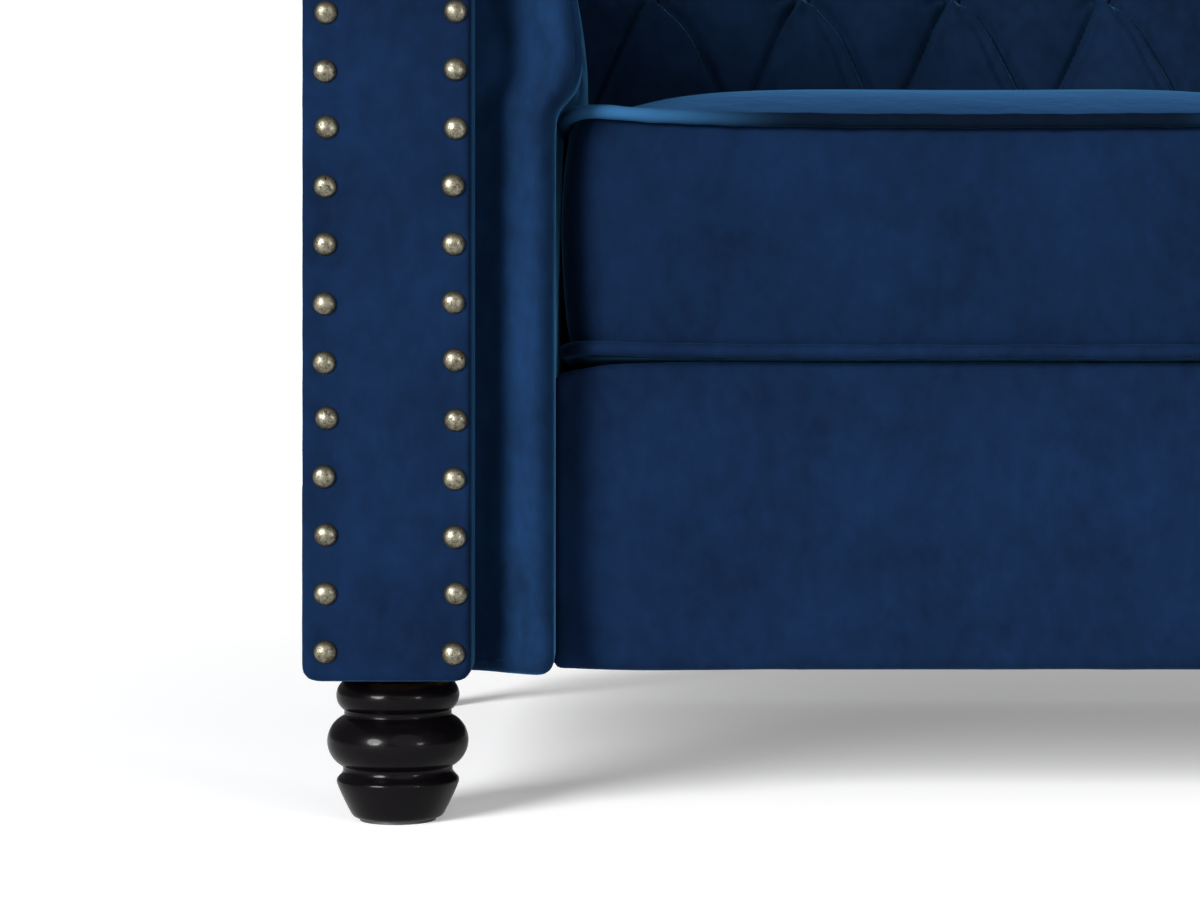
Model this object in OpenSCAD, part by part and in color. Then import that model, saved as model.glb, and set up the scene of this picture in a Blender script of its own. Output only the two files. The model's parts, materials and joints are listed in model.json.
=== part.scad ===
// Three-seat rolled-arm sofa: a hardwood frame on sinuous springs, foam pads, velvet covers drawn in at
// the buttons, nail-trimmed arm facings, three loose box cushions and turned feet.
// +Z is up, the sitter faces -Y, and the origin is on the floor under the middle of the sofa.

/* [Seat] */
// Width of the place that each of the three cushions fills
seat_w = 540; // [500:5:580]
// Depth of a cushion over its piping
cushion_d = 560; // [540:5:580]
// Height of a cushion's border over its piping
cushion_h = 154; // [146:1:156]
// Rise of a cushion's top above its piping
crown_h = 45; // [25:1:50]
// Diameter of the covered piping cord
piping_dia = 9; // [7:0.5:9.5]

/* [Body] */
// Height of the body's underside above the floor
body_z = 95; // [90:1:100]
// Height of the seat deck above the floor
deck_z = 290; // [286:1:292]
// Overall height, to the top of the roll
top_z = 735; // [725:1:745]
// Width of an arm, and thickness of the back, below the roll
arm_w = 150; // [146:1:156]
// How far the roll overhangs the arm's outside
roll_over = 65; // [55:1:70]
// Radius of the padded roll
roll_r = 92; // [88:1:96]
// How far the padding swells inwards above the cushions
swell = 16; // [8:1:18]

/* [Tufting] */
// Distance between buttons along a row
tuft_pitch = 134; // [130:1:138]
// Distance from the mitred corner to the first button of the waist row
corner_gap = 73; // [68:1:78]
// Diameter of a covered button
button_dia = 22; // [18:1:24]

/* [Nail trim] */
// Diameter of a nail's head
nail_dia = 14.5; // [11:0.5:16]
// Number of nails round one facing
nail_count = 39; // [30:1:44]

/* [Hidden] */
$fn = 48;

velvet = "#1b3a63";
foam = "#e8dfc4";
beech = "#c9a06b";
black_lacquer = "#141214";
old_brass = "#8d8567";
steel = "#9a9a9a";
black_cloth = "#202022";
jute = "#a98f63";

// Main planes, all worked out from the driving sizes.
cloth = 2;                                  // a cover with its wadding
skin_gap = 0.3;                             // between a cover and its pad
half_seat = 1.5 * seat_w;                   // middle to an arm's inner face
depth = 850;                                // nail tips to the back roll
nail_h = 5;
facing_y = -depth / 2 + nail_h;             // front of the nailed facings
arm_y = facing_y + 20;                      // front of the padded arm behind its facing
base_y = facing_y + 70;                     // front of the seat rail's cover
back_y = depth / 2 - roll_over - arm_w;     // inner face of the back
outer_y = back_y + arm_w;                   // outer face of the back
outer_x = half_seat + arm_w;                // outer face of an arm
roll_c = [arm_w + roll_over - roll_r, top_z - roll_r];
tuck_a = -73;                               // angle on the roll where its cover is tacked off
join_a = 150;                               // angle where the inner face runs into the roll
seat_line = deck_z - 28;                    // covers and pads behind the rail stop here
pad_in = 58;                                // thickness of the inner padding
frame_in = 62;                              // inner face of the frame in an arm or the back
frame_out = arm_w - cloth - 0.3;
board = 18;                                 // thickness of a plywood board
rail_t = 22;                                // thickness of a seat rail
rail_low = body_z + 4;
rail_top = deck_z - 30;
side = [-1, 1];

// ---------- helpers ----------
function arc(c, r, a0, a1, n) = [for (i = [0:n]) let (a = a0 + (a1 - a0) * i / n) c + r * [cos(a), sin(a)]];
function bezier(a, b, c, d, t) =
    pow(1 - t, 3) * a + 3 * pow(1 - t, 2) * t * b + 3 * (1 - t) * t * t * c + pow(t, 3) * d;
function back_to_front(v) = [for (i = [len(v) - 1:-1:0]) v[i]];

// Extrudes an (outward, up) section along Y on the right arm, or along X on the back.
module along_arm(y0, y1) {
    translate([half_seat, y1, 0]) rotate([90, 0, 0]) linear_extrude(y1 - y0) children();
}
module along_back(x0, x1) {
    translate([x0, back_y, 0]) rotate([90, 0, 90]) linear_extrude(x1 - x0) children();
}
module left_of() { mirror([1, 0, 0]) children(); }
module both() { children(); left_of() children(); }

// A box from one corner to the other.
module box(a, b) { translate(a) cube(b - a); }
// A box in the right arm: outward distances p, depths y and heights z.
module arm_box(p0, p1, y0, y1, z0, z1) { box([half_seat + p0, y0, z0], [half_seat + p1, y1, z1]); }
// A box in the back: x, outward distances q and heights z.
module back_box(x0, x1, q0, q1, z0, z1) { box([x0, back_y + q0, z0], [x1, back_y + q1, z1]); }

// Keeps what lies on the right arm's side of the mitre, or on the back's.
module arm_side() {
    intersection() {
        children();
        linear_extrude(top_z + 10)
            polygon([[half_seat - 40, -depth], [half_seat + 400, -depth], [half_seat + 400, back_y + 400],
                     [half_seat - 40, back_y - 40]]);
    }
}
module back_side() {
    intersection() {
        children();
        linear_extrude(top_z + 10)
            polygon([[half_seat - 40, back_y - 40], [half_seat + 400, back_y + 400],
                     [-half_seat - 400, back_y + 400], [-half_seat + 40, back_y - 40]]);
    }
}

// ---------- the rolled section shared by the arms and the back ----------
swell_z = deck_z + cushion_h + 24;          // where the inner face swells furthest
function join_point(g) = roll_c + (roll_r - g) * [cos(join_a), sin(join_a)];
function lower_face(g, t) =
    bezier([g, swell_z - 24], [g, swell_z - 12], [g - swell, swell_z - 14], [g - swell, swell_z], t);
function upper_face(g, t) =
    bezier([g - swell, swell_z], [g - swell, swell_z + 50],
           join_point(g) - 70 * [sin(join_a), -cos(join_a)], join_point(g), t);
function rolled_face(g, low) = concat(
    [[g, low]],
    [for (i = [0:5]) lower_face(g, i / 5)],
    [for (i = [1:9]) upper_face(g, i / 9)],
    arc(roll_c, roll_r - g, join_a - 10, tuck_a, 21)
);

module cover_band(low) { polygon(concat(rolled_face(0, low), back_to_front(rolled_face(cloth, low)))); }
module pad_section(low) {
    g = cloth + skin_gap;
    polygon(concat(rolled_face(g, low), [[pad_in, roll_c[1] - (roll_r - g) * sin(-tuck_a)], [pad_in, low]]));
}
edge_r = 9;                                 // rounding of an arm's lower edges
module arm_end() {
    r = edge_r;
    polygon(concat(arc([r, body_z + r], r, 270, 180, 5), rolled_face(0, body_z + 2 * r),
                   [[arm_w, body_z + 2 * r]], arc([arm_w - r, body_z + r], r, 0, -90, 5)));
}
// The stretch of an arm in front of the seat: its side and underside, g inside the cover's outside.
function low_edge(g) = concat([[g, seat_line + 1]], arc([edge_r, body_z + edge_r], edge_r - g, 180, 270, 5),
                              [[pad_in, body_z + g]]);

// ---------- buttons: where each row crosses the section ----------
// [outward, up, angle of the surface's normal] for the low row, the waist row and the roll row.
function normal_at(t) = let (d = upper_face(0, t + 0.01) - upper_face(0, t - 0.01)) atan2(d[1], d[0]) + 90;
function on_face(t) = concat(upper_face(0, t), [normal_at(t)]);
roll_row_a = 106;
rows = [on_face(0.2), on_face(0.8), concat(roll_c + roll_r * [cos(roll_row_a), sin(roll_row_a)], [roll_row_a])];
// Distances from the mitred corner: the waist row starts at corner_gap, the other two half a pitch on.
function stations(row, reach) =
    let (first = corner_gap + (row == 1 ? 0 : tuft_pitch / 2))
    [for (s = [first:tuft_pitch:reach]) s];
arm_reach = back_y - arm_y - 50;

// Places its child at every button of the right arm, or of the back: local +Z is the outward normal.
module at_arm_buttons() {
    for (r = [0:2]) for (s = stations(r, arm_reach))
        translate([half_seat + rows[r][0], back_y - s, rows[r][1]]) rotate([0, 90 - rows[r][2], 0]) children();
}
module at_back_buttons() {
    for (r = [0:2]) for (s = stations(r, half_seat)) for (m = s > half_seat - 1 ? [1] : side)
        translate([m * (half_seat - s), back_y + rows[r][0], rows[r][1]])
            rotate([rows[r][2] - 90, 0, 0]) children();
}
pocket_r = button_dia / 2 + 1.5;
pocket_d = 24;
module pocket() { translate([0, 0, -pocket_d]) cylinder(r = pocket_r, h = pocket_d + 12, $fn = 24); }
module button() {
    translate([0, 0, -pocket_d + 0.5]) cylinder(d = 6, h = 3, $fn = 24);
    translate([0, 0, -pocket_d + 3.5]) cylinder(d = button_dia, h = 2.5, $fn = 24);
    translate([0, 0, -pocket_d + 6]) cylinder(d1 = button_dia, d2 = button_dia * 0.55, h = 3.5, $fn = 24);
}
module tuft_buttons() {
    color(velvet) {
        both() at_arm_buttons() button();
        at_back_buttons() button();
    }
}

// ---------- seat box ----------
side_rail_x = half_seat + frame_in;
module seat_front_rail() {
    color(beech) box([-side_rail_x, base_y + 10, rail_low], [side_rail_x, base_y + 10 + rail_t, rail_top]);
}
module seat_rear_rail() {
    color(beech) box([-side_rail_x, back_y - 2 - rail_t, rail_low], [side_rail_x, back_y - 2, rail_top]);
}
module seat_side_rails() {
    color(beech) both()
        arm_box(frame_in, frame_in + rail_t, arm_y + 22, back_y - 20, body_z + 40, rail_top);
}
cross_x = [-seat_w * 0.75, 0, seat_w * 0.75];
module seat_cross_rails() {
    color(beech) for (x = cross_x)
        box([x - 20, base_y + 10 + rail_t, rail_low], [x + 20, back_y - 2 - rail_t, rail_low + 60]);
}
module corner_blocks() {
    leg = 90;
    front = base_y + 10 + rail_t;
    rear = back_y - 2 - rail_t;
    color(beech) both() {
        translate([side_rail_x, front, rail_low + 40]) linear_extrude(60) polygon([[0, 0], [-leg, 0], [0, leg]]);
        translate([side_rail_x, rear, rail_low + 40]) linear_extrude(60) polygon([[0, 0], [0, -leg], [-leg, 0]]);
    }
}

// ---------- feet ----------
foot_x = half_seat + 99.5;                  // a turned front foot's axis
front_foot_y = facing_y + 72;
leg_x = half_seat + 122;                    // a plain rear leg's axis, near the outside of the arm
rear_leg_y = outer_y - 60;
leg_r = 22;
block_z = body_z + 2;
block_top = body_z + 40;
bolt_r = 4;
module at_front_feet() { for (x = side) translate([x * foot_x, front_foot_y, 0]) children(); }
module at_rear_legs() { for (x = side) translate([x * leg_x, rear_leg_y, 0]) children(); }
module at_feet() {
    at_front_feet() children();
    at_rear_legs() children();
}

module foot_blocks() {
    color(beech) difference() {
        both() {
            arm_box(frame_in, frame_out, arm_y + 22, front_foot_y + 45, block_z, block_top);
            arm_box(frame_in, frame_out, rear_leg_y - 45, outer_y - cloth - 0.3, block_z, block_top);
        }
        at_feet() {
            translate([0, 0, block_z - 1]) cylinder(r = bolt_r + 0.3, h = 60);
            translate([0, 0, block_top - 12]) cylinder(r = bolt_r + 1.6, h = 60);
        }
    }
}
glide_h = 2;
neck_r = 30;
// A turned foot: a small bead, a larger bead and a flared cup, round true circles.
module foot() {
    color(black_lacquer) difference() {
        rotate_extrude($fn = 96) {
            translate([27.6, body_z - 16.2]) circle(r = 11.2);
            translate([27, body_z - 45]) circle(r = 17.5);
            translate([0, 20]) square([34, body_z - 29]);
            translate([0, body_z - 12]) square([neck_r, 12 + block_z - body_z]);
            polygon([[0, glide_h], [25.5, glide_h], [27.6, 3.2], [28.6, 5], [37.6, 22], [38.5, 24.6], [38.2, 27],
                     [36.4, 30], [34, 32], [0, 32]]);
        }
        translate([0, 0, block_z - 38]) cylinder(r = bolt_r, h = 60);
    }
}
// A plain rear leg: a tapered round.
module rear_leg() {
    color(black_lacquer) difference() {
        translate([0, 0, glide_h]) cylinder(r1 = leg_r - 5, r2 = leg_r, h = block_z - glide_h);
        translate([0, 0, block_z - 38]) cylinder(r = bolt_r, h = 60);
    }
}
module foot_bolts() {
    color(steel) at_feet() translate([0, 0, block_z - 37.5]) cylinder(r = bolt_r, h = 37.5 + block_top - block_z);
}
module foot_nuts() {
    color(steel) at_feet() difference() {
        union() {
            translate([0, 0, block_top - 11.8]) cylinder(r = bolt_r + 1.5, h = 12);
            translate([0, 0, block_top]) cylinder(r = 12, h = 1.5);
        }
        translate([0, 0, block_top - 20]) cylinder(r = bolt_r + 0.02, h = 40);
    }
}
module foot_glides() {
    color(black_cloth) at_front_feet() cylinder(r = 24, h = glide_h);
    color(black_cloth) at_rear_legs() cylinder(r = leg_r - 7, h = glide_h);
}
leg_y = (base_y + back_y) / 2;
leg_plate_r = 30;
module centre_leg() {
    color(black_lacquer) translate([0, leg_y, 0]) {
        cylinder(r1 = 17, r2 = 22, h = rail_low - 3);
        translate([0, 0, rail_low - 3]) cylinder(r = leg_plate_r, h = 3);
    }
}

// ---------- springs and deck ----------
spring_x = [for (i = [0:11]) (i - 5.5) * seat_w / 4];
spring_loops = 18;
spring_half = 22;                           // half the width of a spring's loops
wire = 3.8;
spring_y0 = base_y + 16;
spring_y1 = back_y - 8;
spring_pitch = (spring_y1 - spring_y0) / spring_loops;
// One edge of the zigzag wire: a half circle at the end of each run, on alternate sides.
function zigzag(off) = [for (i = [0:spring_loops - 1]) let (s = i % 2 == 0 ? 1 : -1, r = spring_pitch / 2 + s * off)
    for (a = [-90:45:90])
        [s * (spring_half - spring_pitch / 2 + r * cos(a)), spring_y0 + (i + 0.5) * spring_pitch + r * sin(a)]];
module seat_springs() {
    color(steel) for (x = spring_x)
        translate([x, 0, rail_top + 2]) linear_extrude(wire)
            polygon(concat(zigzag(wire / 2), back_to_front(zigzag(-wire / 2))));
}
module spring_clips() {
    w = 30;
    color(steel) for (x = spring_x, y = [spring_y0 - 4, spring_y1 - 8]) {
        box([x - w / 2, y, rail_top], [x + w / 2, y + 12, rail_top + 1.8]);
    }
}
deck_in = half_seat - 2;
module spring_burlap() {
    color(jute) box([-deck_in, base_y + 10, rail_top + 8], [deck_in, back_y - 2, rail_top + 10]);
}
module deck_pad() {
    color(foam) box([-deck_in, base_y + 10, rail_top + 10], [deck_in, back_y - 2, deck_z - 2.5]);
}
module deck_cover() {
    color(black_cloth) box([-deck_in, base_y + 52, deck_z - 2.3], [deck_in, back_y - 2, deck_z - 0.5]);
}
rail_r = 7;                                 // rounding of the rail cover's long edges
module front_rail_pad() {
    r = rail_r - cloth - skin_gap;
    low = body_z + rail_r;
    high = deck_z - 0.5 - rail_r;
    color(foam) translate([-deck_in, base_y, 0]) rotate([90, 0, 90]) linear_extrude(2 * deck_in)
        polygon(concat(arc([rail_r, high], r, 90, 180, 5), arc([rail_r, low], r, 180, 270, 5),
                       [[10, low - r], [10, high + r]]));
}
// Velvet over the front rail: over the deck's edge, down the front and under.
module front_rail_cover() {
    r = rail_r;
    low = body_z;
    high = deck_z - 0.5;
    color(velvet) translate([-half_seat + 0.5, base_y, 0]) rotate([90, 0, 90]) linear_extrude(2 * half_seat - 1)
        polygon(concat(
            [[50, high]], arc([r, high - r], r, 90, 180, 5), arc([r, low + r], r, 180, 270, 5), [[30, low]],
            [[30, low + cloth]], arc([r, low + r], r - cloth, 270, 180, 5),
            arc([r, high - r], r - cloth, 180, 90, 5), [[50, high - cloth]]));
}
// Black cloth stapled under the frame from behind the front rail, cut out round the legs.
module dust_cover() {
    reach = half_seat + frame_out;
    color(black_cloth) difference() {
        box([-reach, base_y + 35, body_z + 0.5], [reach, outer_y - 3, body_z + 1.5]);
        at_rear_legs() cylinder(r = leg_r + 1, h = body_z + 10);
        translate([0, leg_y, 0]) cylinder(r = leg_plate_r + 1, h = body_z + 10);
    }
}

// ---------- arms ----------
module arm_front_board() {
    arm_box(frame_in, frame_out, arm_y + 4, arm_y + 4 + board, body_z + 2.3, roll_c[1]);
    translate([half_seat + roll_c[0], arm_y + 4 + board, roll_c[1]]) rotate([90, 0, 0])
        cylinder(r = 60, h = board);
}
module arm_front_boards() { color(beech) both() arm_front_board(); }
top_rail = [roll_c[0] - 25, roll_c[0] + 25];
top_rail_z = roll_c[1] - 25;
module arm_rear_boards() {
    color(beech) both() arm_box(frame_in, frame_out, back_y - 20, back_y - 2, body_z + 40, top_rail_z);
}
rear_of_board = arm_y + 4 + board;
module arm_top_rail(y1) { arm_box(top_rail[0], top_rail[1], rear_of_board, y1, top_rail_z, top_rail_z + 50); }
under_roll_z = roll_c[1] - roll_r * sin(-tuck_a) + 1;
module arm_rails() {
    color(beech) both() {
        arm_top_rail(back_y + top_rail[0]);
        arm_box(frame_in, frame_in + rail_t, rear_of_board, back_y - 20, deck_z + 12, deck_z + 62);
        arm_box(frame_out - rail_t, frame_out, rear_of_board, back_y - 20, under_roll_z - 52, under_roll_z);
        arm_box(frame_out - rail_t, frame_out, front_foot_y + 45, back_y - 20, block_z, block_top + 20);
    }
}
module arm_liners() {
    color(jute) both() arm_box(pad_in + 1, frame_in - 0.5, rear_of_board, back_y - 20, rail_top, under_roll_z - 1);
}
module roll_frame() {
    arm_front_board();
    arm_top_rail(back_y + top_rail[0]);
    arm_box(frame_in, frame_out, back_y - 20, back_y - 2, body_z + 40, top_rail_z);
    back_frame();
}
module arm_pad() {
    g = cloth + skin_gap;
    color(foam) difference() {
        arm_side() union() {
            along_arm(arm_y + g, depth / 2) pad_section(seat_line);
            along_arm(arm_y + g, base_y - 2) polygon(concat(low_edge(g), [[pad_in, seat_line + 1]]));
        }
        roll_frame();
        at_arm_buttons() pocket();
    }
}
module arm_cover() {
    color(velvet) difference() {
        arm_side() union() {
            along_arm(arm_y, depth / 2) cover_band(seat_line);
            along_arm(arm_y, arm_y + cloth) arm_end();
            along_arm(arm_y + 1, base_y) polygon(concat(low_edge(0), back_to_front(low_edge(cloth))));
        }
        at_arm_buttons() pocket();
    }
}
module arm_outer() {
    color(velvet) box([outer_x - cloth, arm_y + cloth + 0.2, body_z], [outer_x, outer_y, under_roll_z - 2]);
}

// ---------- nailed facings ----------
face_in = 51;                               // inner edge of the facing's stem
face_r = roll_r - 6;
fillet_out = 14;
fillet_in = 60;
// Centres of the fillets that blend the stem into the scroll, and the angles where they touch it.
fo = let (dx = arm_w + fillet_out - roll_c[0]) [arm_w + fillet_out, roll_c[1] - sqrt(pow(face_r + fillet_out, 2) - dx * dx)];
fi = let (dx = roll_c[0] - face_in + fillet_in) [face_in - fillet_in, roll_c[1] - sqrt(pow(face_r + fillet_in, 2) - dx * dx)];
out_a = atan2(roll_c[1] - fo[1], roll_c[0] - fo[0]);
in_a = atan2(roll_c[1] - fi[1], roll_c[0] - fi[0]);
module facing_outline(g) {
    r = 9;
    polygon(concat(
        arc([arm_w - r, body_z + r], r - g, -90, 0, 5),
        arc(fo, fillet_out + g, 180, out_a, 6),
        arc(roll_c, face_r - g, out_a - 180, in_a + 180, 40),
        arc(fi, fillet_in + g, in_a, 0, 5),
        arc([face_in + r, body_z + r], r - g, 180, 270, 5)));
}
module facing_board() { color(beech) along_arm(facing_y + cloth + 0.2, arm_y - 0.2) facing_outline(cloth + 0.2); }
module facing_cover() {
    color(velvet) difference() {
        along_arm(facing_y, arm_y - 0.2) facing_outline(0);
        along_arm(facing_y + cloth, arm_y + 1) facing_outline(cloth);
    }
}
// The nails follow the facing's edge: 13 mm in from the outer edge, 8.5 mm in from the inner one.
nail_out = 13;
nail_in = 8.5;
nail_z0 = body_z + 16.5;
arc_out = (fillet_out + nail_out) * (180 - out_a) * PI / 180;
turn = in_a + 180 - (out_a - 180);
nail_r = face_r - (nail_out + nail_in) / 2;
arc_roll = nail_r * turn * PI / 180;
arc_in = (fillet_in + nail_in) * in_a * PI / 180;
run = [fo[1] - nail_z0, arc_out, arc_roll, arc_in, fi[1] - nail_z0];
function nail_at(s) =
    s < run[0] ? [arm_w - nail_out, nail_z0 + s] :
    s < run[0] + run[1] ? let (a = 180 - (180 - out_a) * (s - run[0]) / run[1])
        fo + (fillet_out + nail_out) * [cos(a), sin(a)] :
    s < run[0] + run[1] + run[2] ? let (k = (s - run[0] - run[1]) / run[2], a = out_a - 180 + turn * k)
        roll_c + (face_r - nail_out + (nail_out - nail_in) * k) * [cos(a), sin(a)] :
    s < run[0] + run[1] + run[2] + run[3] ? let (a = in_a * (1 - (s - run[0] - run[1] - run[2]) / run[3]))
        fi + (fillet_in + nail_in) * [cos(a), sin(a)] :
    [face_in + nail_in, fi[1] - (s - run[0] - run[1] - run[2] - run[3])];
nail_run = run[0] + run[1] + run[2] + run[3] + run[4];
module nail() {
    rotate([90, 0, 0]) {
        rotate_extrude($fn = 24) polygon(concat([[0, 0]], arc([0, -2.75], 7.75, 20.8, 90, 6)));
        translate([0, 0, -14]) cylinder(r = 1, h = 14.5, $fn = 16);
    }
}
module nailheads() {
    color(old_brass) for (i = [0:nail_count - 1]) let (n = nail_at(nail_run * i / (nail_count - 1)))
        translate([half_seat + n[0], facing_y, n[1]]) scale(nail_dia / 14.5) nail();
}

// ---------- back ----------
post_x = [-half_seat - frame_out, -seat_w / 2 - 20, seat_w / 2 - 20, half_seat + frame_out - 40];
module back_posts() {
    color(beech) for (x = post_x) back_box(x, x + 40, frame_out - 30, frame_out, block_top, top_rail_z);
}
back_end = half_seat + frame_out;
module back_rails() {
    color(beech) {
        back_box(-back_end, back_end, top_rail[0], top_rail[1], top_rail_z, top_rail_z + 50);
        back_box(-back_end, back_end, frame_in, frame_in + rail_t, deck_z + 12, deck_z + 62);
        for (i = [0:2]) {
            back_box(post_x[i] + 40, post_x[i + 1], frame_out - rail_t, frame_out, under_roll_z - 52, under_roll_z);
        }
        back_box(-half_seat - frame_in, half_seat + frame_in, frame_out - 40, frame_out, block_z, block_top);
    }
}
module back_frame() {
    back_posts();
    back_box(-back_end, back_end, top_rail[0], top_rail[1], top_rail_z, top_rail_z + 50);
    back_box(-back_end, back_end, frame_in - 3.5, frame_out, rail_top, under_roll_z);
}
module back_liner() {
    color(jute) back_box(-half_seat - 20, half_seat + 20, pad_in + 1, frame_in - 0.5, rail_top, under_roll_z - 1);
}
module back_pad() {
    color(foam) difference() {
        back_side() along_back(-outer_x - roll_over, outer_x + roll_over) pad_section(seat_line);
        back_frame();
        both() arm_top_rail(back_y + top_rail[0]);
        at_back_buttons() pocket();
    }
}
module back_cover() {
    color(velvet) difference() {
        back_side() along_back(-outer_x - roll_over, outer_x + roll_over) cover_band(seat_line);
        at_back_buttons() pocket();
    }
}
module back_outer() {
    color(velvet) box([-outer_x + cloth + 0.2, outer_y - cloth, body_z], [outer_x - cloth - 0.2, outer_y, under_roll_z - 2]);
}

// ---------- loose cushions ----------
cushion_w = seat_w - 3;
cushion_y = base_y - 10 + cushion_d / 2;    // middle of a cushion, front to back
corner_r = 40;
border_in = piping_dia + 0.2;               // the border stands this far inside the piping's outside
cushion_z = deck_z;
module rounded(w, d, r) {
    polygon(concat(arc([w / 2 - r, d / 2 - r], r, 0, 90, 6), arc([r - w / 2, d / 2 - r], r, 90, 180, 6),
                   arc([r - w / 2, r - d / 2], r, 180, 270, 6), arc([w / 2 - r, r - d / 2], r, 270, 360, 6)));
}
function crown_r(half) = (half * half + crown_h * crown_h) / (2 * crown_h);
// A box crowned from front to back and from side to side, g inside the cover's outside.
module cushion_body(g) {
    w = cushion_w - 2 * border_in;
    d = cushion_d - 2 * border_in;
    top = cushion_h;
    intersection() {
        translate([0, 0, g]) linear_extrude(top + crown_h - 2 * g) rounded(w - 2 * g, d - 2 * g, corner_r - g);
        translate([-w, 0, top + crown_h - crown_r(d / 2)]) rotate([0, 90, 0])
            cylinder(r = crown_r(d / 2) - g, h = 2 * w, $fn = 180);
        translate([0, d, top + crown_h - crown_r(w / 2)]) rotate([90, 0, 0])
            cylinder(r = crown_r(w / 2) - g, h = 2 * d, $fn = 180);
    }
}
module at_cushion(i) { translate([(i - 1) * seat_w, cushion_y, cushion_z]) children(); }
module cushion_cover() {
    color(velvet) difference() {
        cushion_body(0);
        cushion_body(cloth);
    }
}
module cushion_foam() { color(foam) cushion_body(cloth + skin_gap); }
module welt(z) {
    r = piping_dia / 2;
    w = cushion_w / 2 - r;
    d = cushion_d / 2 - r;
    bend = corner_r;
    for (m = side) {
        translate([m * w, bend - d, z]) rotate([-90, 0, 0]) cylinder(r = r, h = 2 * (d - bend), $fn = 24);
        translate([bend - w, m * d, z]) rotate([0, 90, 0]) cylinder(r = r, h = 2 * (w - bend), $fn = 24);
    }
    for (i = [0:3]) translate([(i == 0 || i == 3 ? 1 : -1) * (w - bend), (i < 2 ? 1 : -1) * (d - bend), z])
        rotate([0, 0, i * 90]) rotate_extrude(angle = 90, $fn = 48) translate([bend, 0]) circle(r = r, $fn = 24);
}
module cushion_piping() {
    color(velvet) {
        welt(piping_dia / 2);
        welt(cushion_h - piping_dia / 2);
    }
}
// A zip along the back of the border: tape, and a coil that the slider straddles.
zip_len = 440;
coil_w = 5;
coil_h = 2.4;
tape_h = 1;
zip_z = cushion_h / 2;
zip_y = cushion_d / 2 - border_in;
module cushion_zip() {
    color(black_cloth) translate([0, zip_y, zip_z]) {
        box([-zip_len / 2, 0, -14], [zip_len / 2, tape_h, 14]);
        box([-zip_len / 2, tape_h, -coil_w / 2], [zip_len / 2, tape_h + coil_h, coil_w / 2]);
    }
}
slider_l = 12;
zip_travel = zip_len - 2 * slider_l;
module zip_slider() {
    gap = 0.3;
    wall = 1.2;
    w = coil_w / 2 + gap;
    color(steel) translate([zip_travel / 2, zip_y + tape_h + gap, zip_z]) difference() {
        union() {
            box([-slider_l / 2, 0, -w - wall], [slider_l / 2, coil_h + wall, w + wall]);
            box([-2, coil_h + wall - 0.2, -w - 22], [2, coil_h + wall + 1.2, w - 1]);
        }
        box([-slider_l, -1, -w], [slider_l, coil_h, w]);
    }
}

seat_front_rail();
seat_rear_rail();
seat_side_rails();
seat_cross_rails();
corner_blocks();
foot_blocks();
seat_springs();
spring_clips();
spring_burlap();
deck_pad();
deck_cover();
front_rail_pad();
front_rail_cover();
dust_cover();
arm_front_boards();
arm_rear_boards();
arm_rails();
arm_liners();
left_of() arm_pad();  // arm_pad_left
arm_pad();  // arm_pad_right
left_of() arm_cover();  // arm_cover_left
arm_cover();  // arm_cover_right
left_of() arm_outer();  // arm_outer_left
arm_outer();  // arm_outer_right
left_of() facing_board();  // facing_board_left
facing_board();  // facing_board_right
left_of() facing_cover();  // facing_cover_left
facing_cover();  // facing_cover_right
left_of() nailheads();  // nailheads_left
nailheads();  // nailheads_right
back_posts();
back_rails();
back_liner();
back_pad();
back_cover();
back_outer();
tuft_buttons();
translate([-foot_x, front_foot_y, 0]) foot();  // foot_front_left
translate([foot_x, front_foot_y, 0]) foot();  // foot_front_right
translate([-leg_x, rear_leg_y, 0]) rear_leg();  // foot_rear_left
translate([leg_x, rear_leg_y, 0]) rear_leg();  // foot_rear_right
centre_leg();
foot_bolts();
foot_nuts();
foot_glides();
at_cushion(0) cushion_cover();  // cushion_cover_left
at_cushion(1) cushion_cover();  // cushion_cover_middle
at_cushion(2) cushion_cover();  // cushion_cover_right
at_cushion(0) cushion_foam();  // cushion_foam_left
at_cushion(1) cushion_foam();  // cushion_foam_middle
at_cushion(2) cushion_foam();  // cushion_foam_right
at_cushion(0) cushion_piping();  // cushion_piping_left
at_cushion(1) cushion_piping();  // cushion_piping_middle
at_cushion(2) cushion_piping();  // cushion_piping_right
at_cushion(0) cushion_zip();  // cushion_zip_left
at_cushion(1) cushion_zip();  // cushion_zip_middle
at_cushion(2) cushion_zip();  // cushion_zip_right
at_cushion(0) zip_slider();  // zip_slider_left
at_cushion(1) zip_slider();  // zip_slider_middle
at_cushion(2) zip_slider();  // zip_slider_right
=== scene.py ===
# %% [markdown]
# A three-seat sofa in blue velvet: rolled arms, a deep-buttoned back, three loose piped cushions, nailed arm
# fronts and turned feet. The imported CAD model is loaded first, because it fixes every place and size. The
# camera comes next, low and close to the front left corner, where the nails, the foot and the cushion meet.

# %% Load the frame and set the camera
import json
import math
import random

import bmesh
import bpy
import numpy as np
from mathutils import Matrix, Vector, noise


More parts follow.
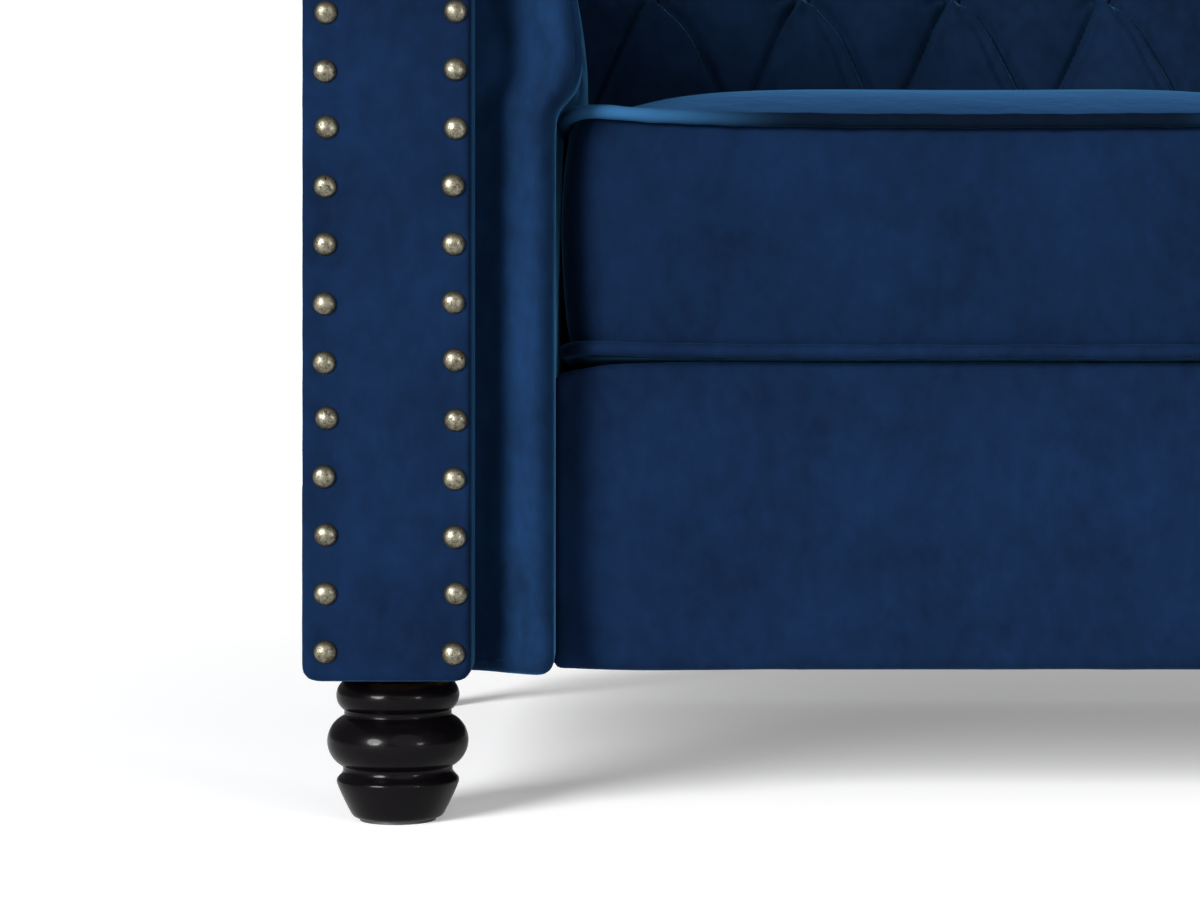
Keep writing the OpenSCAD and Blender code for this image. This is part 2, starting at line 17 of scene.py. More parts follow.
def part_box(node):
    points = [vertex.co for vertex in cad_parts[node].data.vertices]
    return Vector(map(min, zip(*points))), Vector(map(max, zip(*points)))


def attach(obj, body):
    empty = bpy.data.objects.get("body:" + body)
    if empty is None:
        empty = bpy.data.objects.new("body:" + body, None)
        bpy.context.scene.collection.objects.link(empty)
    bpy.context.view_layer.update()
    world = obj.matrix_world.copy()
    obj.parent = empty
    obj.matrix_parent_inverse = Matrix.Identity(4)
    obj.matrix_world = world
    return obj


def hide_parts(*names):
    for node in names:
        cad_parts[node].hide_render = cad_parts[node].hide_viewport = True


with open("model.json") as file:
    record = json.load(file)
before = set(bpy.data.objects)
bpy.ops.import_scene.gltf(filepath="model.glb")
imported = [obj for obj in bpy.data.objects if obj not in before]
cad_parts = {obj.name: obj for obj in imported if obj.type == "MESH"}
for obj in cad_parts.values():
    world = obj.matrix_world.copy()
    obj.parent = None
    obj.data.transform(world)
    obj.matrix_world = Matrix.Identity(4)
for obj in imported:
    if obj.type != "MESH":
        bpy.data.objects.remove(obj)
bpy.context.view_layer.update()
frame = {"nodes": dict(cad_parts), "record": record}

MM = 0.001
facing_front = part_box("facing_cover_left")[0].y

camera = bpy.data.objects.new("camera", bpy.data.cameras.new("camera"))
camera.data.lens = 69
camera.data.sensor_width = 36
camera.location = (-0.782, facing_front - 1.380, 0.232)
camera.rotation_euler = (math.pi / 2, 0, 0)
bpy.context.collection.objects.link(camera)
scene = bpy.context.scene
scene.camera = camera
scene.view_settings.view_transform = "Standard"

# %% [markdown]
# Every piece is measured from the CAD model's own boxes, so nothing has to be fitted afterwards. The names
# below are the planes that an upholsterer would chalk on the frame: the inner face of an arm, the front of
# the padding, the seat deck and the centre of the roll.

# %% Planes taken from the frame
low_arm, high_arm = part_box("arm_cover_right")
HALF_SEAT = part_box("front_rail_cover")[1].x + 0.5 * MM
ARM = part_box("arm_outer_right")[1].x - HALF_SEAT      # width of an arm below its roll
ARM_FRONT = low_arm.y
RAIL_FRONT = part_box("front_rail_cover")[0].y
BACK_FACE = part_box("back_outer")[1].y - ARM
BODY_Z = low_arm.z
ROLL_TOP = high_arm.z
ROLL_R = 92 * MM
ROLL = np.array([high_arm.x - HALF_SEAT - ROLL_R, ROLL_TOP - ROLL_R])   # (outward, up) of the roll's centre
SEAT_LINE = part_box("back_cover")[0].z
PIPING_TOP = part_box("cushion_piping_left")[1].z
SWELL = HALF_SEAT - low_arm.x
print("arm", round(ARM, 3), "roll centre", ROLL.round(3), "swell", round(SWELL, 4))

# %% [markdown]
# A few small helpers serve the whole file. One turns an sRGB hex colour into the linear numbers that shaders
# use. One adds a shader node with its settings and links. One bends a flat grid of quads into a surface: the
# grid comes from one operator, and a function says where each of its points goes. The last ones edit a mesh
# and say which part of the CAD model a finished piece replaces.

# %% Helpers for colour, shader nodes and bent sheets
def colour(hex_text):
    """Linear RGBA of an sRGB hex colour."""
    parts = [int(hex_text[i:i + 2], 16) / 255 for i in (1, 3, 5)]
    return (*[c / 12.92 if c <= 0.04045 else ((c + 0.055) / 1.055) ** 2.4 for c in parts], 1.0)


def add(tree, kind, links=(), **settings):
    """Adds one node. settings sets its properties and, by name with _ for a space, its inputs."""
    node = tree.nodes.new("ShaderNode" + kind)
    for key, value in settings.items():
        if hasattr(node, key):
            setattr(node, key, value)
        else:
            node.inputs[int(key[1:]) if key[1:].isdigit() else key.replace("_", " ")].default_value = value
    for source, target in links:
        tree.links.new(source, node.inputs[target])
    return node


def material(name):
    """A new material with its Principled shader and its Object coordinates."""
    made = bpy.data.materials.new(name)
    made.use_nodes = True
    tree = made.node_tree
    coords = tree.nodes.new("ShaderNodeTexCoord")
    return made, tree, tree.nodes["Principled BSDF"], coords.outputs["Object"]


def link(name, mesh):
    """A new object that holds a mesh, at the origin."""
    piece = bpy.data.objects.new(name, mesh)
    bpy.context.collection.objects.link(piece)
    return piece


def bent_sheet(name, across, along, place, outward=None):
    """A grid whose points go to place(u, v), where u and v run from 0 to 1. outward picks its front side."""
    bm = bmesh.new()
    bmesh.ops.create_grid(bm, x_segments=across, y_segments=along, size=0.5)
    mesh = bpy.data.meshes.new(name)
    bm.to_mesh(mesh)
    bm.free()
    co = points_of(mesh)
    set_points(mesh, place(co[:, 0] + 0.5, co[:, 1] + 0.5))
    if outward is not None:
        normals = np.empty(len(mesh.polygons) * 3)
        mesh.polygons.foreach_get("normal", normals)
        if (normals.reshape(-1, 3) @ np.array(outward)).sum() < 0:
            mesh.flip_normals()
    mesh.shade_smooth()
    return mesh


def points_of(mesh):
    flat = np.empty(len(mesh.vertices) * 3)
    mesh.vertices.foreach_get("co", flat)
    return flat.reshape(-1, 3)


def set_points(mesh, co):
    mesh.vertices.foreach_set("co", np.ascontiguousarray(co, dtype=float).ravel())
    mesh.update()


def reshape(mesh, *steps):
    """Runs bmesh steps on a mesh: each step is a function of the bmesh."""
    bm = bmesh.new()
    bm.from_mesh(mesh)
    for step in steps:
        step(bm)
    bm.to_mesh(mesh)
    bm.free()
    mesh.shade_smooth()


def finish(piece, made_of, body, nodes=()):
    """Gives a piece its material and body, and hides the CAD nodes that it stands for."""
    piece.data.materials.clear()
    piece.data.materials.append(made_of)
    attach(piece, body)
    if nodes:
        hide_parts(*nodes)
    print(piece.name, len(piece.data.polygons), "faces on", body)


def smooth_step(x):
    t = np.clip(x, 0, 1)
    return t * t * (3 - 2 * t)


def ripples(co, size, seed=0.0):
    """Soft noise from -1 to 1 at each point, with lumps about size across."""
    shift = Vector((seed * 7.3, seed * 3.1, seed * 5.7))
    return np.array([noise.noise(Vector(p) / size + shift) for p in co])


# %% [markdown]
# Cotton velvet is a woven ground with a dense cut pile. Seen straight on, the light sinks between the fibres
# and the cloth is a deep navy. Seen along the surface, the fibre sides catch the light and it turns pale
# blue, which is what the sheen layer of the shader does. The pile never lies quite evenly, so large soft
# patches and small brushed streaks tip the surface a little and shift its colour. The pile itself, under
# 1 mm, is drawn at 1.6 mm so that it shows. One cloth is made in three tones: a paler copy with more sheen
# for the arms, which is painted light, a deeper copy for the back, which is painted shade, and the plain one
# for the flat panels.

# %% Velvet
PATCH, STREAK, PILE = 75 * MM, 11 * MM, 1.6 * MM
VELVET_SHEEN = "#4688bb"


def cut_pile(shader, sheen):
    """What every velvet shares: no gloss of its own, and a pale blue sheen along the fibres' sides."""
    shader.inputs["Roughness"].default_value = 0.92
    shader.inputs["Specular IOR Level"].default_value = 0.02
    shader.inputs["Sheen Weight"].default_value = sheen
    shader.inputs["Sheen Roughness"].default_value = 0.30
    shader.inputs["Sheen Tint"].default_value = colour(VELVET_SHEEN)


def velvet(name, deep, lit, sheen):
    """Velvet whose colour drifts from deep to lit with the lie of its nap."""
    made, tree, shader, place = material(name)
    patches = add(tree, "TexNoise", [(place, "Vector")], Scale=1 / PATCH, Detail=3.0, Roughness=0.55)
    brushed = add(tree, "Mapping", [(place, "Vector")], Scale=(1.0, 1.0, 0.7))
    streaks = add(tree, "TexNoise", [(brushed.outputs["Vector"], "Vector")], Scale=1 / STREAK, Detail=4.0,
                  Roughness=0.6)
    pile = add(tree, "TexNoise", [(place, "Vector")], Scale=1 / PILE, Detail=2.0)
    both = add(tree, "Mix", [(patches.outputs["Fac"], 2), (streaks.outputs["Fac"], 3)], data_type="FLOAT")
    both.inputs[0].default_value = 0.45
    tone = add(tree, "ValToRGB", [(both.outputs[0], "Fac")])
    tone.color_ramp.elements[0].position = 0.36
    tone.color_ramp.elements[0].color = colour(deep)
    tone.color_ramp.elements[1].position = 0.66
    tone.color_ramp.elements[1].color = colour(lit)
    lie = add(tree, "Bump", [(patches.outputs["Fac"], "Height")], Strength=0.35, Distance=0.006)
    brush = add(tree, "Bump", [(streaks.outputs["Fac"], "Height"), (lie.outputs["Normal"], "Normal")],
                Strength=0.32, Distance=0.0016)
    nap = add(tree, "Bump", [(pile.outputs["Fac"], "Height"), (brush.outputs["Normal"], "Normal")],
              Strength=0.25, Distance=0.0005)
    tree.links.new(tone.outputs["Color"], shader.inputs["Base Color"])
    tree.links.new(nap.outputs["Normal"], shader.inputs["Normal"])
    cut_pile(shader, sheen)
    return made


blue_velvet = velvet("cotton_velvet_navy", "#071327", "#0a1b34", sheen=0.33)
# The arms' copy is painted lighter and the back's copy painted darker: painted light and painted shade.
arm_velvet_painted_lighter = velvet("cotton_velvet_arms_painted_light", "#0a1a30", "#0f2644", sheen=0.88)
back_velvet_painted_darker = velvet("cotton_velvet_back_painted_shade", "#051020", "#09182d", sheen=0.36)
print("three tones of velvet")

# %% [markdown]
# A seat cushion's top is painted paler than its border: painted light on the faces that look up, whichever
# side the lamps are on. The surface's own upward slope mixes the two tones, so the change comes at the seam
# and fades over the rounded edge.

# %% Seat velvet
seat_velvet_painted_light_top = velvet("cotton_velvet_seat_painted_light_top", "#061225", "#091931", sheen=0.40)
tree = seat_velvet_painted_light_top.node_tree
shader = tree.nodes["Principled BSDF"]
border_tone = shader.inputs["Base Color"].links[0].from_socket
surface = add(tree, "NewGeometry", [])
apart = add(tree, "SeparateXYZ", [(surface.outputs["Normal"], "Vector")])
level = add(tree, "MapRange", [(apart.outputs["Z"], "Value")], From_Min=0.45, From_Max=0.95)
tone = add(tree, "Mix", [(level.outputs["Result"], 0), (border_tone, 6)], data_type="RGBA")
# The paler tone for the faces that look up is painted light.
tone.inputs[7].default_value = colour("#12294a")
tree.links.new(tone.outputs[2], shader.inputs["Base Color"])
print(seat_velvet_painted_light_top.name, "mixes its border and top tones")

# %% [markdown]
# The inner side of an arm or of the back is one long roll of padding. Its section starts under the frame,
# goes up past the seat, swells out over the cushions, leans back and turns over the roll, and the cloth is
# tacked off under the roll's outside. A table of points along that section, evenly spaced, lets the tufting
# be laid out by real distance along the cloth.

# %% The section of the roll
PAD_EDGE = 9 * MM
TUCK = math.radians(-94)
JOIN = math.radians(150)
PAD_IN = 58 * MM


def bezier(a, b, c, d, t):
    t = t[:, None]
    return (1 - t) ** 3 * a + 3 * (1 - t) ** 2 * t * b + 3 * (1 - t) * t ** 2 * c + t ** 3 * d


def arc(centre, r, start, end, count):
    a = np.linspace(start, end, count)
    return np.asarray(centre) + r * np.stack([np.cos(a), np.sin(a)], axis=1)


def pair(*values):
    return np.array(values)


swell_z = PIPING_TOP + 24 * MM
join = ROLL + ROLL_R * pair(math.cos(JOIN), math.sin(JOIN))
steps = np.linspace(0, 1, 60)
outline = np.concatenate([
    [pair(PAD_IN, BODY_Z)],
    arc(pair(PAD_EDGE, BODY_Z + PAD_EDGE), PAD_EDGE, -math.pi / 2, -math.pi, 12),
    bezier(pair(0, swell_z - 0.036), pair(0, swell_z - 0.014), pair(-SWELL, swell_z - 0.022),
           pair(-SWELL, swell_z + 0.004), steps),
    bezier(pair(-SWELL, swell_z + 0.004), pair(-SWELL, swell_z + 0.054),
           join - 0.070 * pair(math.sin(JOIN), -math.cos(JOIN)), join, steps)[1:],
    arc(ROLL, ROLL_R, JOIN, TUCK, 120)[1:],
])
lengths = np.concatenate([[0], np.cumsum(np.hypot(*np.diff(outline, axis=0).T))])
SECTION_U = np.linspace(0, lengths[-1], 1200)
SECTION = np.stack([np.interp(SECTION_U, lengths, outline[:, i]) for i in (0, 1)], axis=1)


def smoothed(values, reach):
    """A running mean over reach metres of the section, with its ends held."""
    n = max(1, int(reach / SECTION_U[1]))
    padded = np.pad(values, ((n, n), (0, 0)), mode="edge")
    kernel = np.ones(2 * n + 1) / (2 * n + 1)
    return np.stack([np.convolve(padded[:, i], kernel, mode="valid") for i in (0, 1)], axis=1)


SECTION = smoothed(SECTION, 0.004)
tangent = np.gradient(SECTION, SECTION_U, axis=0)
tangent /= np.linalg.norm(tangent, axis=1)[:, None]
NORMAL = np.stack([-tangent[:, 1], tangent[:, 0]], axis=1)
side_of_arm = SECTION[:, 1] > BODY_Z + PAD_EDGE
SOFT_NORMAL = smoothed(np.where(side_of_arm[:, None], NORMAL, (-1.0, 0.0)), 0.045)


def along(table, u):
    return np.stack([np.interp(u, SECTION_U, table[:, i]) for i in (0, 1)], axis=1)


def u_at_height(z, after=0.0):
    """Distance along the section where it first reaches height z."""
    reached = (SECTION[:, 1] >= z) & (SECTION_U >= after)
    return SECTION_U[np.argmax(reached)]


print("cloth round the section:", round(SECTION_U[-1], 3), "m")

# %% [markdown]
# Diamond tufting pulls the cloth down to rows of buttons. Each row is half a pitch off the one below, and the
# spare cloth between buttons is folded into pleats that run from button to button, so the padding puffs up in
# diamonds. Above the top row and below the bottom row the pleats run straight on over the roll and down
# behind the seat. It could be sculpted by hand, but every diamond follows one rule, so a formula gives the
# depth at each point: a pillow between pleats, a crease along each pleat, a deep pit and small gathers at
# each button, and some unevenness as from hand work.

# %% Tufting as a depth over the cloth
PITCH = 134 * MM
CORNER_GAP = 73 * MM
LOW_ROW_Z, MIDDLE_ROW_Z = 0.502, 0.648
ROLL_ROW = math.radians(106)                   # where the top row lies round the roll
roll_arc_end = SECTION_U[-1]
ROW_U = np.array([
    u_at_height(LOW_ROW_Z),
    u_at_height(MIDDLE_ROW_Z),
    roll_arc_end - ROLL_R * (ROLL_ROW - TUCK),
])
ROW_START = (0.5, 0.0, 0.5)
BUTTON_SINK = 25 * MM
print(len(ROW_U), "rows of buttons, at", ROW_U.round(3), "m along the cloth")

# A pleat in metres: depth and width of its groove, then height, place and width of the lip beside it.
ROLLED_PLEAT = (0.0062, 0.0030, 0.0034, -0.0080, 0.0044)
FLAT_PLEAT = (0.0050, 0.0024, 0.0024, 0.0056, 0.0032)
TWIN_PLEAT = (0.0036, 0.0028, 0.0022, -0.0062, 0.0038)
UPRIGHT_PLEAT = (0.0040, 0.0026, 0.0018, -0.0070, 0.0045)
HEM_PLEAT = (0.0026, 0.0020, 0.0014, -0.0045, 0.0030)


def nearest_button(s, u, last):
    """Distance from each point to its nearest button, and the angle there, different at each button."""
    a = (s - CORNER_GAP) / PITCH
    nearest, angle = np.full(len(s), 1.0), np.zeros(len(s))
    for row, start in enumerate(ROW_START):
        top = (last[row] - CORNER_GAP) / PITCH
        column = np.clip(np.round(a - start) + start, start, top)
        ds, du = (a - column) * PITCH, u - ROW_U[row]
        r = np.hypot(ds, du)
        angle = np.where(r < nearest, 12 * np.arctan2(du, ds) + 5 * column + 3 * row, angle)
        nearest = np.minimum(r, nearest)
    return nearest, angle


def fold(distance, groove, groove_w, lip, lip_at, lip_w):
    """A pleat in section: a narrow groove with a rolled lip beside it."""
    return lip * np.exp(-((distance - lip_at) / lip_w) ** 2) - groove * np.exp(-(distance / groove_w) ** 2)


def tufting(s, u, last):
    """Depth of the cloth above its section, at run s and section distance u. last is the last button's s."""
    a = (s - CORNER_GAP) / PITCH
    v = np.interp(u, ROW_U, [0.0, 1.0, 2.0])
    v = np.where(u > ROW_U[2], 2 + (u - ROW_U[2]) / 0.12, v)
    v = np.where(u < ROW_U[0], (u - ROW_U[0]) / 0.13, v)
    beyond = np.maximum(v - 2, -v).clip(0, None)
    inside = beyond == 0
    nearest, angle = nearest_button(s, u, last)
    free = 1 - np.exp(-(nearest / 0.030) ** 2)

    wander = free * (0.016 * np.sin(5.1 * a + 4.7 * v) + 0.008 * np.sin(13.0 * a - 7.0 * v))
    bow = 0.10 * np.abs(np.sin(np.pi * np.clip(v, 0, 2)))
    p = a + (v - 1) / 2 - bow + wander
    q = a - (v - 1) / 2 + wander * 0.4
    diamond = np.abs(np.sin(np.pi * p) * np.sin(np.pi * q)) ** 0.5
    upright = np.abs(np.cos(np.pi * (a + wander))) ** (1.0 - 0.3 * smooth_step(beyond / 0.3))
    pillow = np.where(inside, diamond, upright)

    across = PITCH * 0.9
    fp, fq = (p - np.round(p)) * across, (q - np.round(q)) * across
    fa = (a + wander - 0.5 - np.round(a + wander - 0.5)) * PITCH
    twin = (np.sin(12.9 * np.round(p) + 7.8 * np.floor(v)) > 0.1) * free
    apart = 0.015 * (1 - np.exp(-nearest / 0.035))
    crossing = (fold(fp, *ROLLED_PLEAT)
                + fold(fq, *FLAT_PLEAT)
                + twin * fold(fp + apart, *TWIN_PLEAT))
    pleats = np.where(inside, crossing, fold(fa, *UPRIGHT_PLEAT))
    rays = 0.0021 * np.exp(-((nearest - 0.024) / 0.017) ** 2) * np.cos(angle)
    pit = np.exp(-(nearest / 0.018) ** 1.8)

    fade_low = smooth_step((v + 1.6) / 1.4)
    fade_top = 0.45 + 0.55 * smooth_step((3.4 - v) / 1.2)
    fade_front = smooth_step((last[2] + 0.056 - s) / 0.028)
    fade_mitre = smooth_step((s + 0.085) / 0.085)
    part = fade_low * fade_top * fade_front * fade_mitre
    return part * (0.015 * (pillow - 1) + pleats + rays + 0.004) - (BUTTON_SINK - 0.011) * pit


# %% [markdown]
# The two arms and the back share one section and one layout, and meet at 45 degree mitres. Each is a fine
# sheet bent round the section. The sheet is cut on the mitre's plane, and because both sides of the mitre
# follow the same rule, their cut edges match. At its front an arm's padding turns in round a soft edge and
# ends behind the nailed facing.

# %% Arm and back padding
CELL = 2.6 * MM
REACH = 0.232                                  # how far the sheets run past the corner before they are cut
FRONT_R = 22 * MM
FRONT_END = BACK_FACE - ARM_FRONT              # run from the corner to the padded front
BEHIND_FACING = 68 * MM                        # how far the arm's front runs across, to end out of sight
TUCK_DEPTH = 33 * MM                           # how far the front sinks back where it meets the facing
ROLL_FROM_Z, HEM_FROM_Z = 0.590, 0.452         # where the roll's swell begins, and the seam above the seat
ARM_LAST = tuple(CORNER_GAP + PITCH * (k + 3) for k in ROW_START)
BACK_LAST = tuple(CORNER_GAP + PITCH * (k + 5) for k in ROW_START)


def section_rows(start):
    """Section distances of a sheet's rows: wide apart where the cloth is plain, close where it is tufted."""
    tuft_start, tuft_end = ROW_U[0] - 0.070, ROW_U[2] + 0.045
    fine = np.linspace(start, start + 0.075, 38 if start == 0 else 10)
    plain = np.linspace(fine[-1], tuft_start, int((tuft_start - fine[-1]) / (9 * MM)) + 1)
    tufted = np.linspace(tuft_start, tuft_end, int((tuft_end - tuft_start) / CELL))
    over = np.linspace(tuft_end, roll_arc_end, int((roll_arc_end - tuft_end) / (1.6 * CELL)))
    return np.concatenate([fine, plain[1:], tufted[1:], over[1:]])


def arm_point(rows, side):
    """Places an arm's sheet: along its inner face, round the soft front edge and in behind the facing."""
    far = FRONT_END - FRONT_R + FRONT_R * math.pi / 2 + BEHIND_FACING

    def place(i, j):
        s = -REACH + (far + REACH) * i
        u = np.interp(j, np.linspace(0, 1, len(rows)), rows)
        flat, normal, soft = along(SECTION, u), along(NORMAL, u), along(SOFT_NORMAL, u)
        level = smooth_step((flat[:, 1] - BODY_Z - PAD_EDGE) / 0.050)[:, None]
        soft = soft * level + pair(-1, 0) * (1 - level)
        on_roll = smooth_step((flat[:, 1] - ROLL_FROM_Z) / 0.060)
        above_hem = smooth_step((flat[:, 1] - BODY_Z - PAD_EDGE) / 0.060)
        edge = PAD_EDGE + (FRONT_R - PAD_EDGE) * above_hem * (1 - on_roll) + 2 * MM * on_roll
        start = FRONT_END - edge
        turn = np.clip((s - start) / edge, 0, math.pi / 2)
        past = np.clip(s - start - edge * math.pi / 2, 0, None)
        inset = edge * (1 - np.cos(turn)) + past
        y = BACK_FACE - np.minimum(s, start) - edge * np.sin(turn)
        short = np.minimum(inset, PAD_EDGE)
        slid = (inset - short) * np.clip((PAD_IN - flat[:, 0]) / (PAD_IN - PAD_EDGE), 0, 1)
        under = flat - normal * short[:, None] + pair(1, 0) * slid[:, None]
        low = flat[:, 1] < BODY_Z + PAD_EDGE
        inwards = np.where(low, under[:, 0], inset)
        tucked = TUCK_DEPTH * smooth_step((inwards - 0.006) / 0.050) * (1 - on_roll)
        beside_seat = smooth_step((flat[:, 1] - HEM_FROM_Z) / 0.020) * (1 - on_roll)
        hem = beside_seat * fold(s - start - 0.45 * edge, *HEM_PLEAT)
        lift = tufting(s, u, ARM_LAST) + hem
        spot = np.where(low[:, None], under, flat + normal * lift[:, None] - soft * inset[:, None])
        return np.stack([side * (HALF_SEAT + spot[:, 0]), y + tucked, spot[:, 1]], axis=1)
    return place


def back_point(rows):
    """Places the back's sheet, which runs from mitre to mitre."""
    half = HALF_SEAT + REACH

    def place(i, j):
        x = half * (2 * i - 1)
        u = np.interp(j, np.linspace(0, 1, len(rows)), rows)
        flat, normal = along(SECTION, u), along(NORMAL, u)
        lift = tufting(HALF_SEAT - np.abs(x), u, BACK_LAST)
        spot = flat + normal * lift[:, None]
        return np.stack([x, BACK_FACE + spot[:, 0], spot[:, 1]], axis=1)
    return place


def cut(point, normal):
    """A bmesh step that removes what lies on the plane's positive side."""
    def step(bm):
        every = bm.verts[:] + bm.edges[:] + bm.faces[:]
        bmesh.ops.bisect_plane(bm, geom=every, plane_co=point, plane_no=normal, clear_outer=True)
    return step


def cut_out_seat(bm):
    """Removes the cloth that would hang behind the seat rail, below the seat line."""
    behind, below = RAIL_FRONT + 45 * MM, SEAT_LINE - 4 * MM
    for point, normal in (((0, behind, 0), (0, 1, 0)), ((0, 0, below), (0, 0, 1))):
        every = bm.verts[:] + bm.edges[:] + bm.faces[:]
        bmesh.ops.bisect_plane(bm, geom=every, plane_co=point, plane_no=normal)
    hidden = [f for f in bm.faces if f.calc_center_median().y > behind and f.calc_center_median().z < below]
    bmesh.ops.delete(bm, geom=hidden, context="FACES")


arm_rows = section_rows(0.0)
arm_columns = int((FRONT_END + REACH + 0.05) / CELL)
for name, side in (("left", -1), ("right", 1)):
    mesh = bent_sheet(f"arm_tufting_{name}", arm_columns, len(arm_rows) - 1, arm_point(arm_rows, side),
                      outward=(-side, -0.2, 0.2))
    corner = (side * HALF_SEAT, BACK_FACE, 0)
    reshape(mesh, cut(corner, (-side, 1, 0)), cut_out_seat)
    finish(link(mesh.name, mesh), arm_velvet_painted_lighter, "frame", (f"arm_cover_{name}", f"arm_pad_{name}"))

back_rows = section_rows(u_at_height(SEAT_LINE))
back_columns = 2 * int((HALF_SEAT + REACH) / CELL)
mesh = bent_sheet("back_tufting", back_columns, len(back_rows) - 1, back_point(back_rows),
                  outward=(0, -1, 0.2))
reshape(mesh, *[cut((side * HALF_SEAT, BACK_FACE, 0), (side, -1, 0)) for side in (-1, 1)])
finish(link(mesh.name, mesh), back_velvet_painted_darker, "frame", ("back_cover", "back_pad"))

# %% [markdown]
# Each button is a tin cap covered in the same velvet. It is a low dome, spun from a short profile. All of
# them are one mesh: one button is copied to every place where the layout above has a pit, and turned to face
# out of the cloth.

# %% Covered buttons
BUTTON_R = 11 * MM


def spun(profile, turns=24):
    """A bmesh of a (radius, height) profile spun round Z and closed at its poles."""
    bm = bmesh.new()
    verts = [bm.verts.new((r, 0, z)) for r, z in profile]
    edges = [bm.edges.new(two) for two in zip(verts, verts[1:])]
    bmesh.ops.spin(bm, geom=verts + edges, cent=(0, 0, 0), axis=(0, 0, 1), angle=2 * math.pi, steps=turns,
                   use_merge=True)
    bmesh.ops.remove_doubles(bm, verts=bm.verts, dist=1e-6)
    bmesh.ops.recalc_face_normals(bm, faces=bm.faces)
    return bm


def copies(name, bm, places):
    """One mesh that holds a copy of a bmesh at each place, a 4x4 matrix."""
    pattern = bpy.data.meshes.new(name + "_one")
    bm.to_mesh(pattern)
    bm.free()
    whole = bmesh.new()
    for place in places:
        before = len(whole.verts)
        whole.from_mesh(pattern)
        whole.verts.ensure_lookup_table()
        bmesh.ops.transform(whole, matrix=place, verts=whole.verts[before:])
    mesh = bpy.data.meshes.new(name)
    whole.to_mesh(mesh)
    whole.free()
    mesh.shade_smooth()
    bpy.data.meshes.remove(pattern)
    return mesh


def facing_out(spot, normal, sink):
    """The place of something on the cloth, turned so that its Z axis is the cloth's normal."""
    return Matrix.Translation(Vector(spot) - Vector(normal) * sink) @ \
        Vector(normal).to_track_quat("Z", "Y").to_matrix().to_4x4()


button_places = []
for row, start in enumerate(ROW_START):
    flat, normal = along(SECTION, ROW_U[row:row + 1])[0], along(NORMAL, ROW_U[row:row + 1])[0]
    for k in range(4):
        s = CORNER_GAP + PITCH * (k + start)
        for side in (-1, 1):
            spot = (side * (HALF_SEAT + flat[0]), BACK_FACE - s, flat[1])
            button_places.append(facing_out(spot, (side * normal[0], 0, normal[1]), BUTTON_SINK - 4 * MM))
    for k in range(6):
        s = CORNER_GAP + PITCH * (k + start)
        for side in ((-1, 1) if s < HALF_SEAT - MM else (1,)):
            spot = (side * (HALF_SEAT - s), BACK_FACE + flat[0], flat[1])
            button_places.append(facing_out(spot, (0, normal[0], normal[1]), BUTTON_SINK - 4 * MM))

dome = [(BUTTON_R * math.sin(a), 5.5 * MM * math.cos(a)) for a in np.linspace(0, math.pi / 2, 6)]
button = spun(dome + [(BUTTON_R * 0.9, -2 * MM), (0, -2.5 * MM)], turns=20)
buttons = link("tufting_buttons", copies("tufting_buttons", button, button_places))
finish(buttons, blue_velvet, "frame", ("tuft_buttons",))
print(len(button_places), "buttons")

# %% [markdown]
# The nailed facing is a board cut to the arm's outline, lightly padded and covered. The outline is the stem's
# straight sides, two blending fillets and the scroll. It is built as a flat face, given its thickness by an
# extrude, rounded with a bevel, and remeshed into even cells, so that each nail can press a small dimple into
# the cloth.

# %% Facing outline and nail places
FACE_IN = 51 * MM
FACE_R = ROLL_R - 6 * MM
FILLET_OUT = 14 * MM
FILLET_IN = 60 * MM
NAIL_OUT = 13 * MM
NAIL_IN = 8.5 * MM
NAIL_PITCH = 35 * MM

out_dx = ARM + FILLET_OUT - ROLL[0]
out_c = pair(ARM + FILLET_OUT, ROLL[1] - math.sqrt((FACE_R + FILLET_OUT) ** 2 - out_dx ** 2))
in_dx = ROLL[0] - FACE_IN + FILLET_IN
in_c = pair(FACE_IN - FILLET_IN, ROLL[1] - math.sqrt((FACE_R + FILLET_IN) ** 2 - in_dx ** 2))
out_a = math.atan2(*(ROLL - out_c)[::-1])
in_a = math.atan2(*(ROLL - in_c)[::-1])


def facing_outline(out_gap, in_gap, corner):
    """Points of the facing's outline, moved inwards by out_gap on the outer edge and in_gap on the inner."""
    mean = (out_gap + in_gap) / 2
    r = corner
    return np.concatenate([
        arc(pair(ARM - out_gap - r, BODY_Z + mean + r), r, -math.pi / 2, 0, 8),
        arc(out_c, FILLET_OUT + out_gap, math.pi, out_a, 10),
        arc(ROLL, FACE_R - mean, out_a - math.pi, in_a + math.pi, 90)[1:-1],
        arc(in_c, FILLET_IN + in_gap, in_a, 0, 12),
        arc(pair(FACE_IN + in_gap + r, BODY_Z + mean + r), r, math.pi, 1.5 * math.pi, 8),
    ])


def nail_spots():
    """(outward, up) of each nail: up the outer edge, round the scroll and down the inner edge."""
    line = facing_outline(NAIL_OUT, NAIL_IN, 0.1 * MM)
    keep = line[:, 1] > BODY_Z + 16 * MM
    line = line[keep]
    line = np.concatenate([[pair(ARM - NAIL_OUT, BODY_Z + 16.5 * MM)], line,
                           [pair(FACE_IN + NAIL_IN, BODY_Z + 16.5 * MM)]])
    run = np.concatenate([[0], np.cumsum(np.hypot(*np.diff(line, axis=0).T))])
    at = np.linspace(0, run[-1], round(run[-1] / NAIL_PITCH) + 1)
    return np.stack([np.interp(at, run, line[:, i]) for i in (0, 1)], axis=1)


NAILS = nail_spots()
print(len(NAILS), "nails on each facing")


# %% Facings
def remeshed(mesh, voxel):
    """The same shape as even cells."""
    piece = link(mesh.name, mesh)
    remesh = piece.modifiers.new("cells", "REMESH")
    remesh.mode = "VOXEL"
    remesh.voxel_size = voxel
    made = bpy.data.meshes.new_from_object(piece.evaluated_get(bpy.context.evaluated_depsgraph_get()))
    bpy.data.objects.remove(piece)
    return made


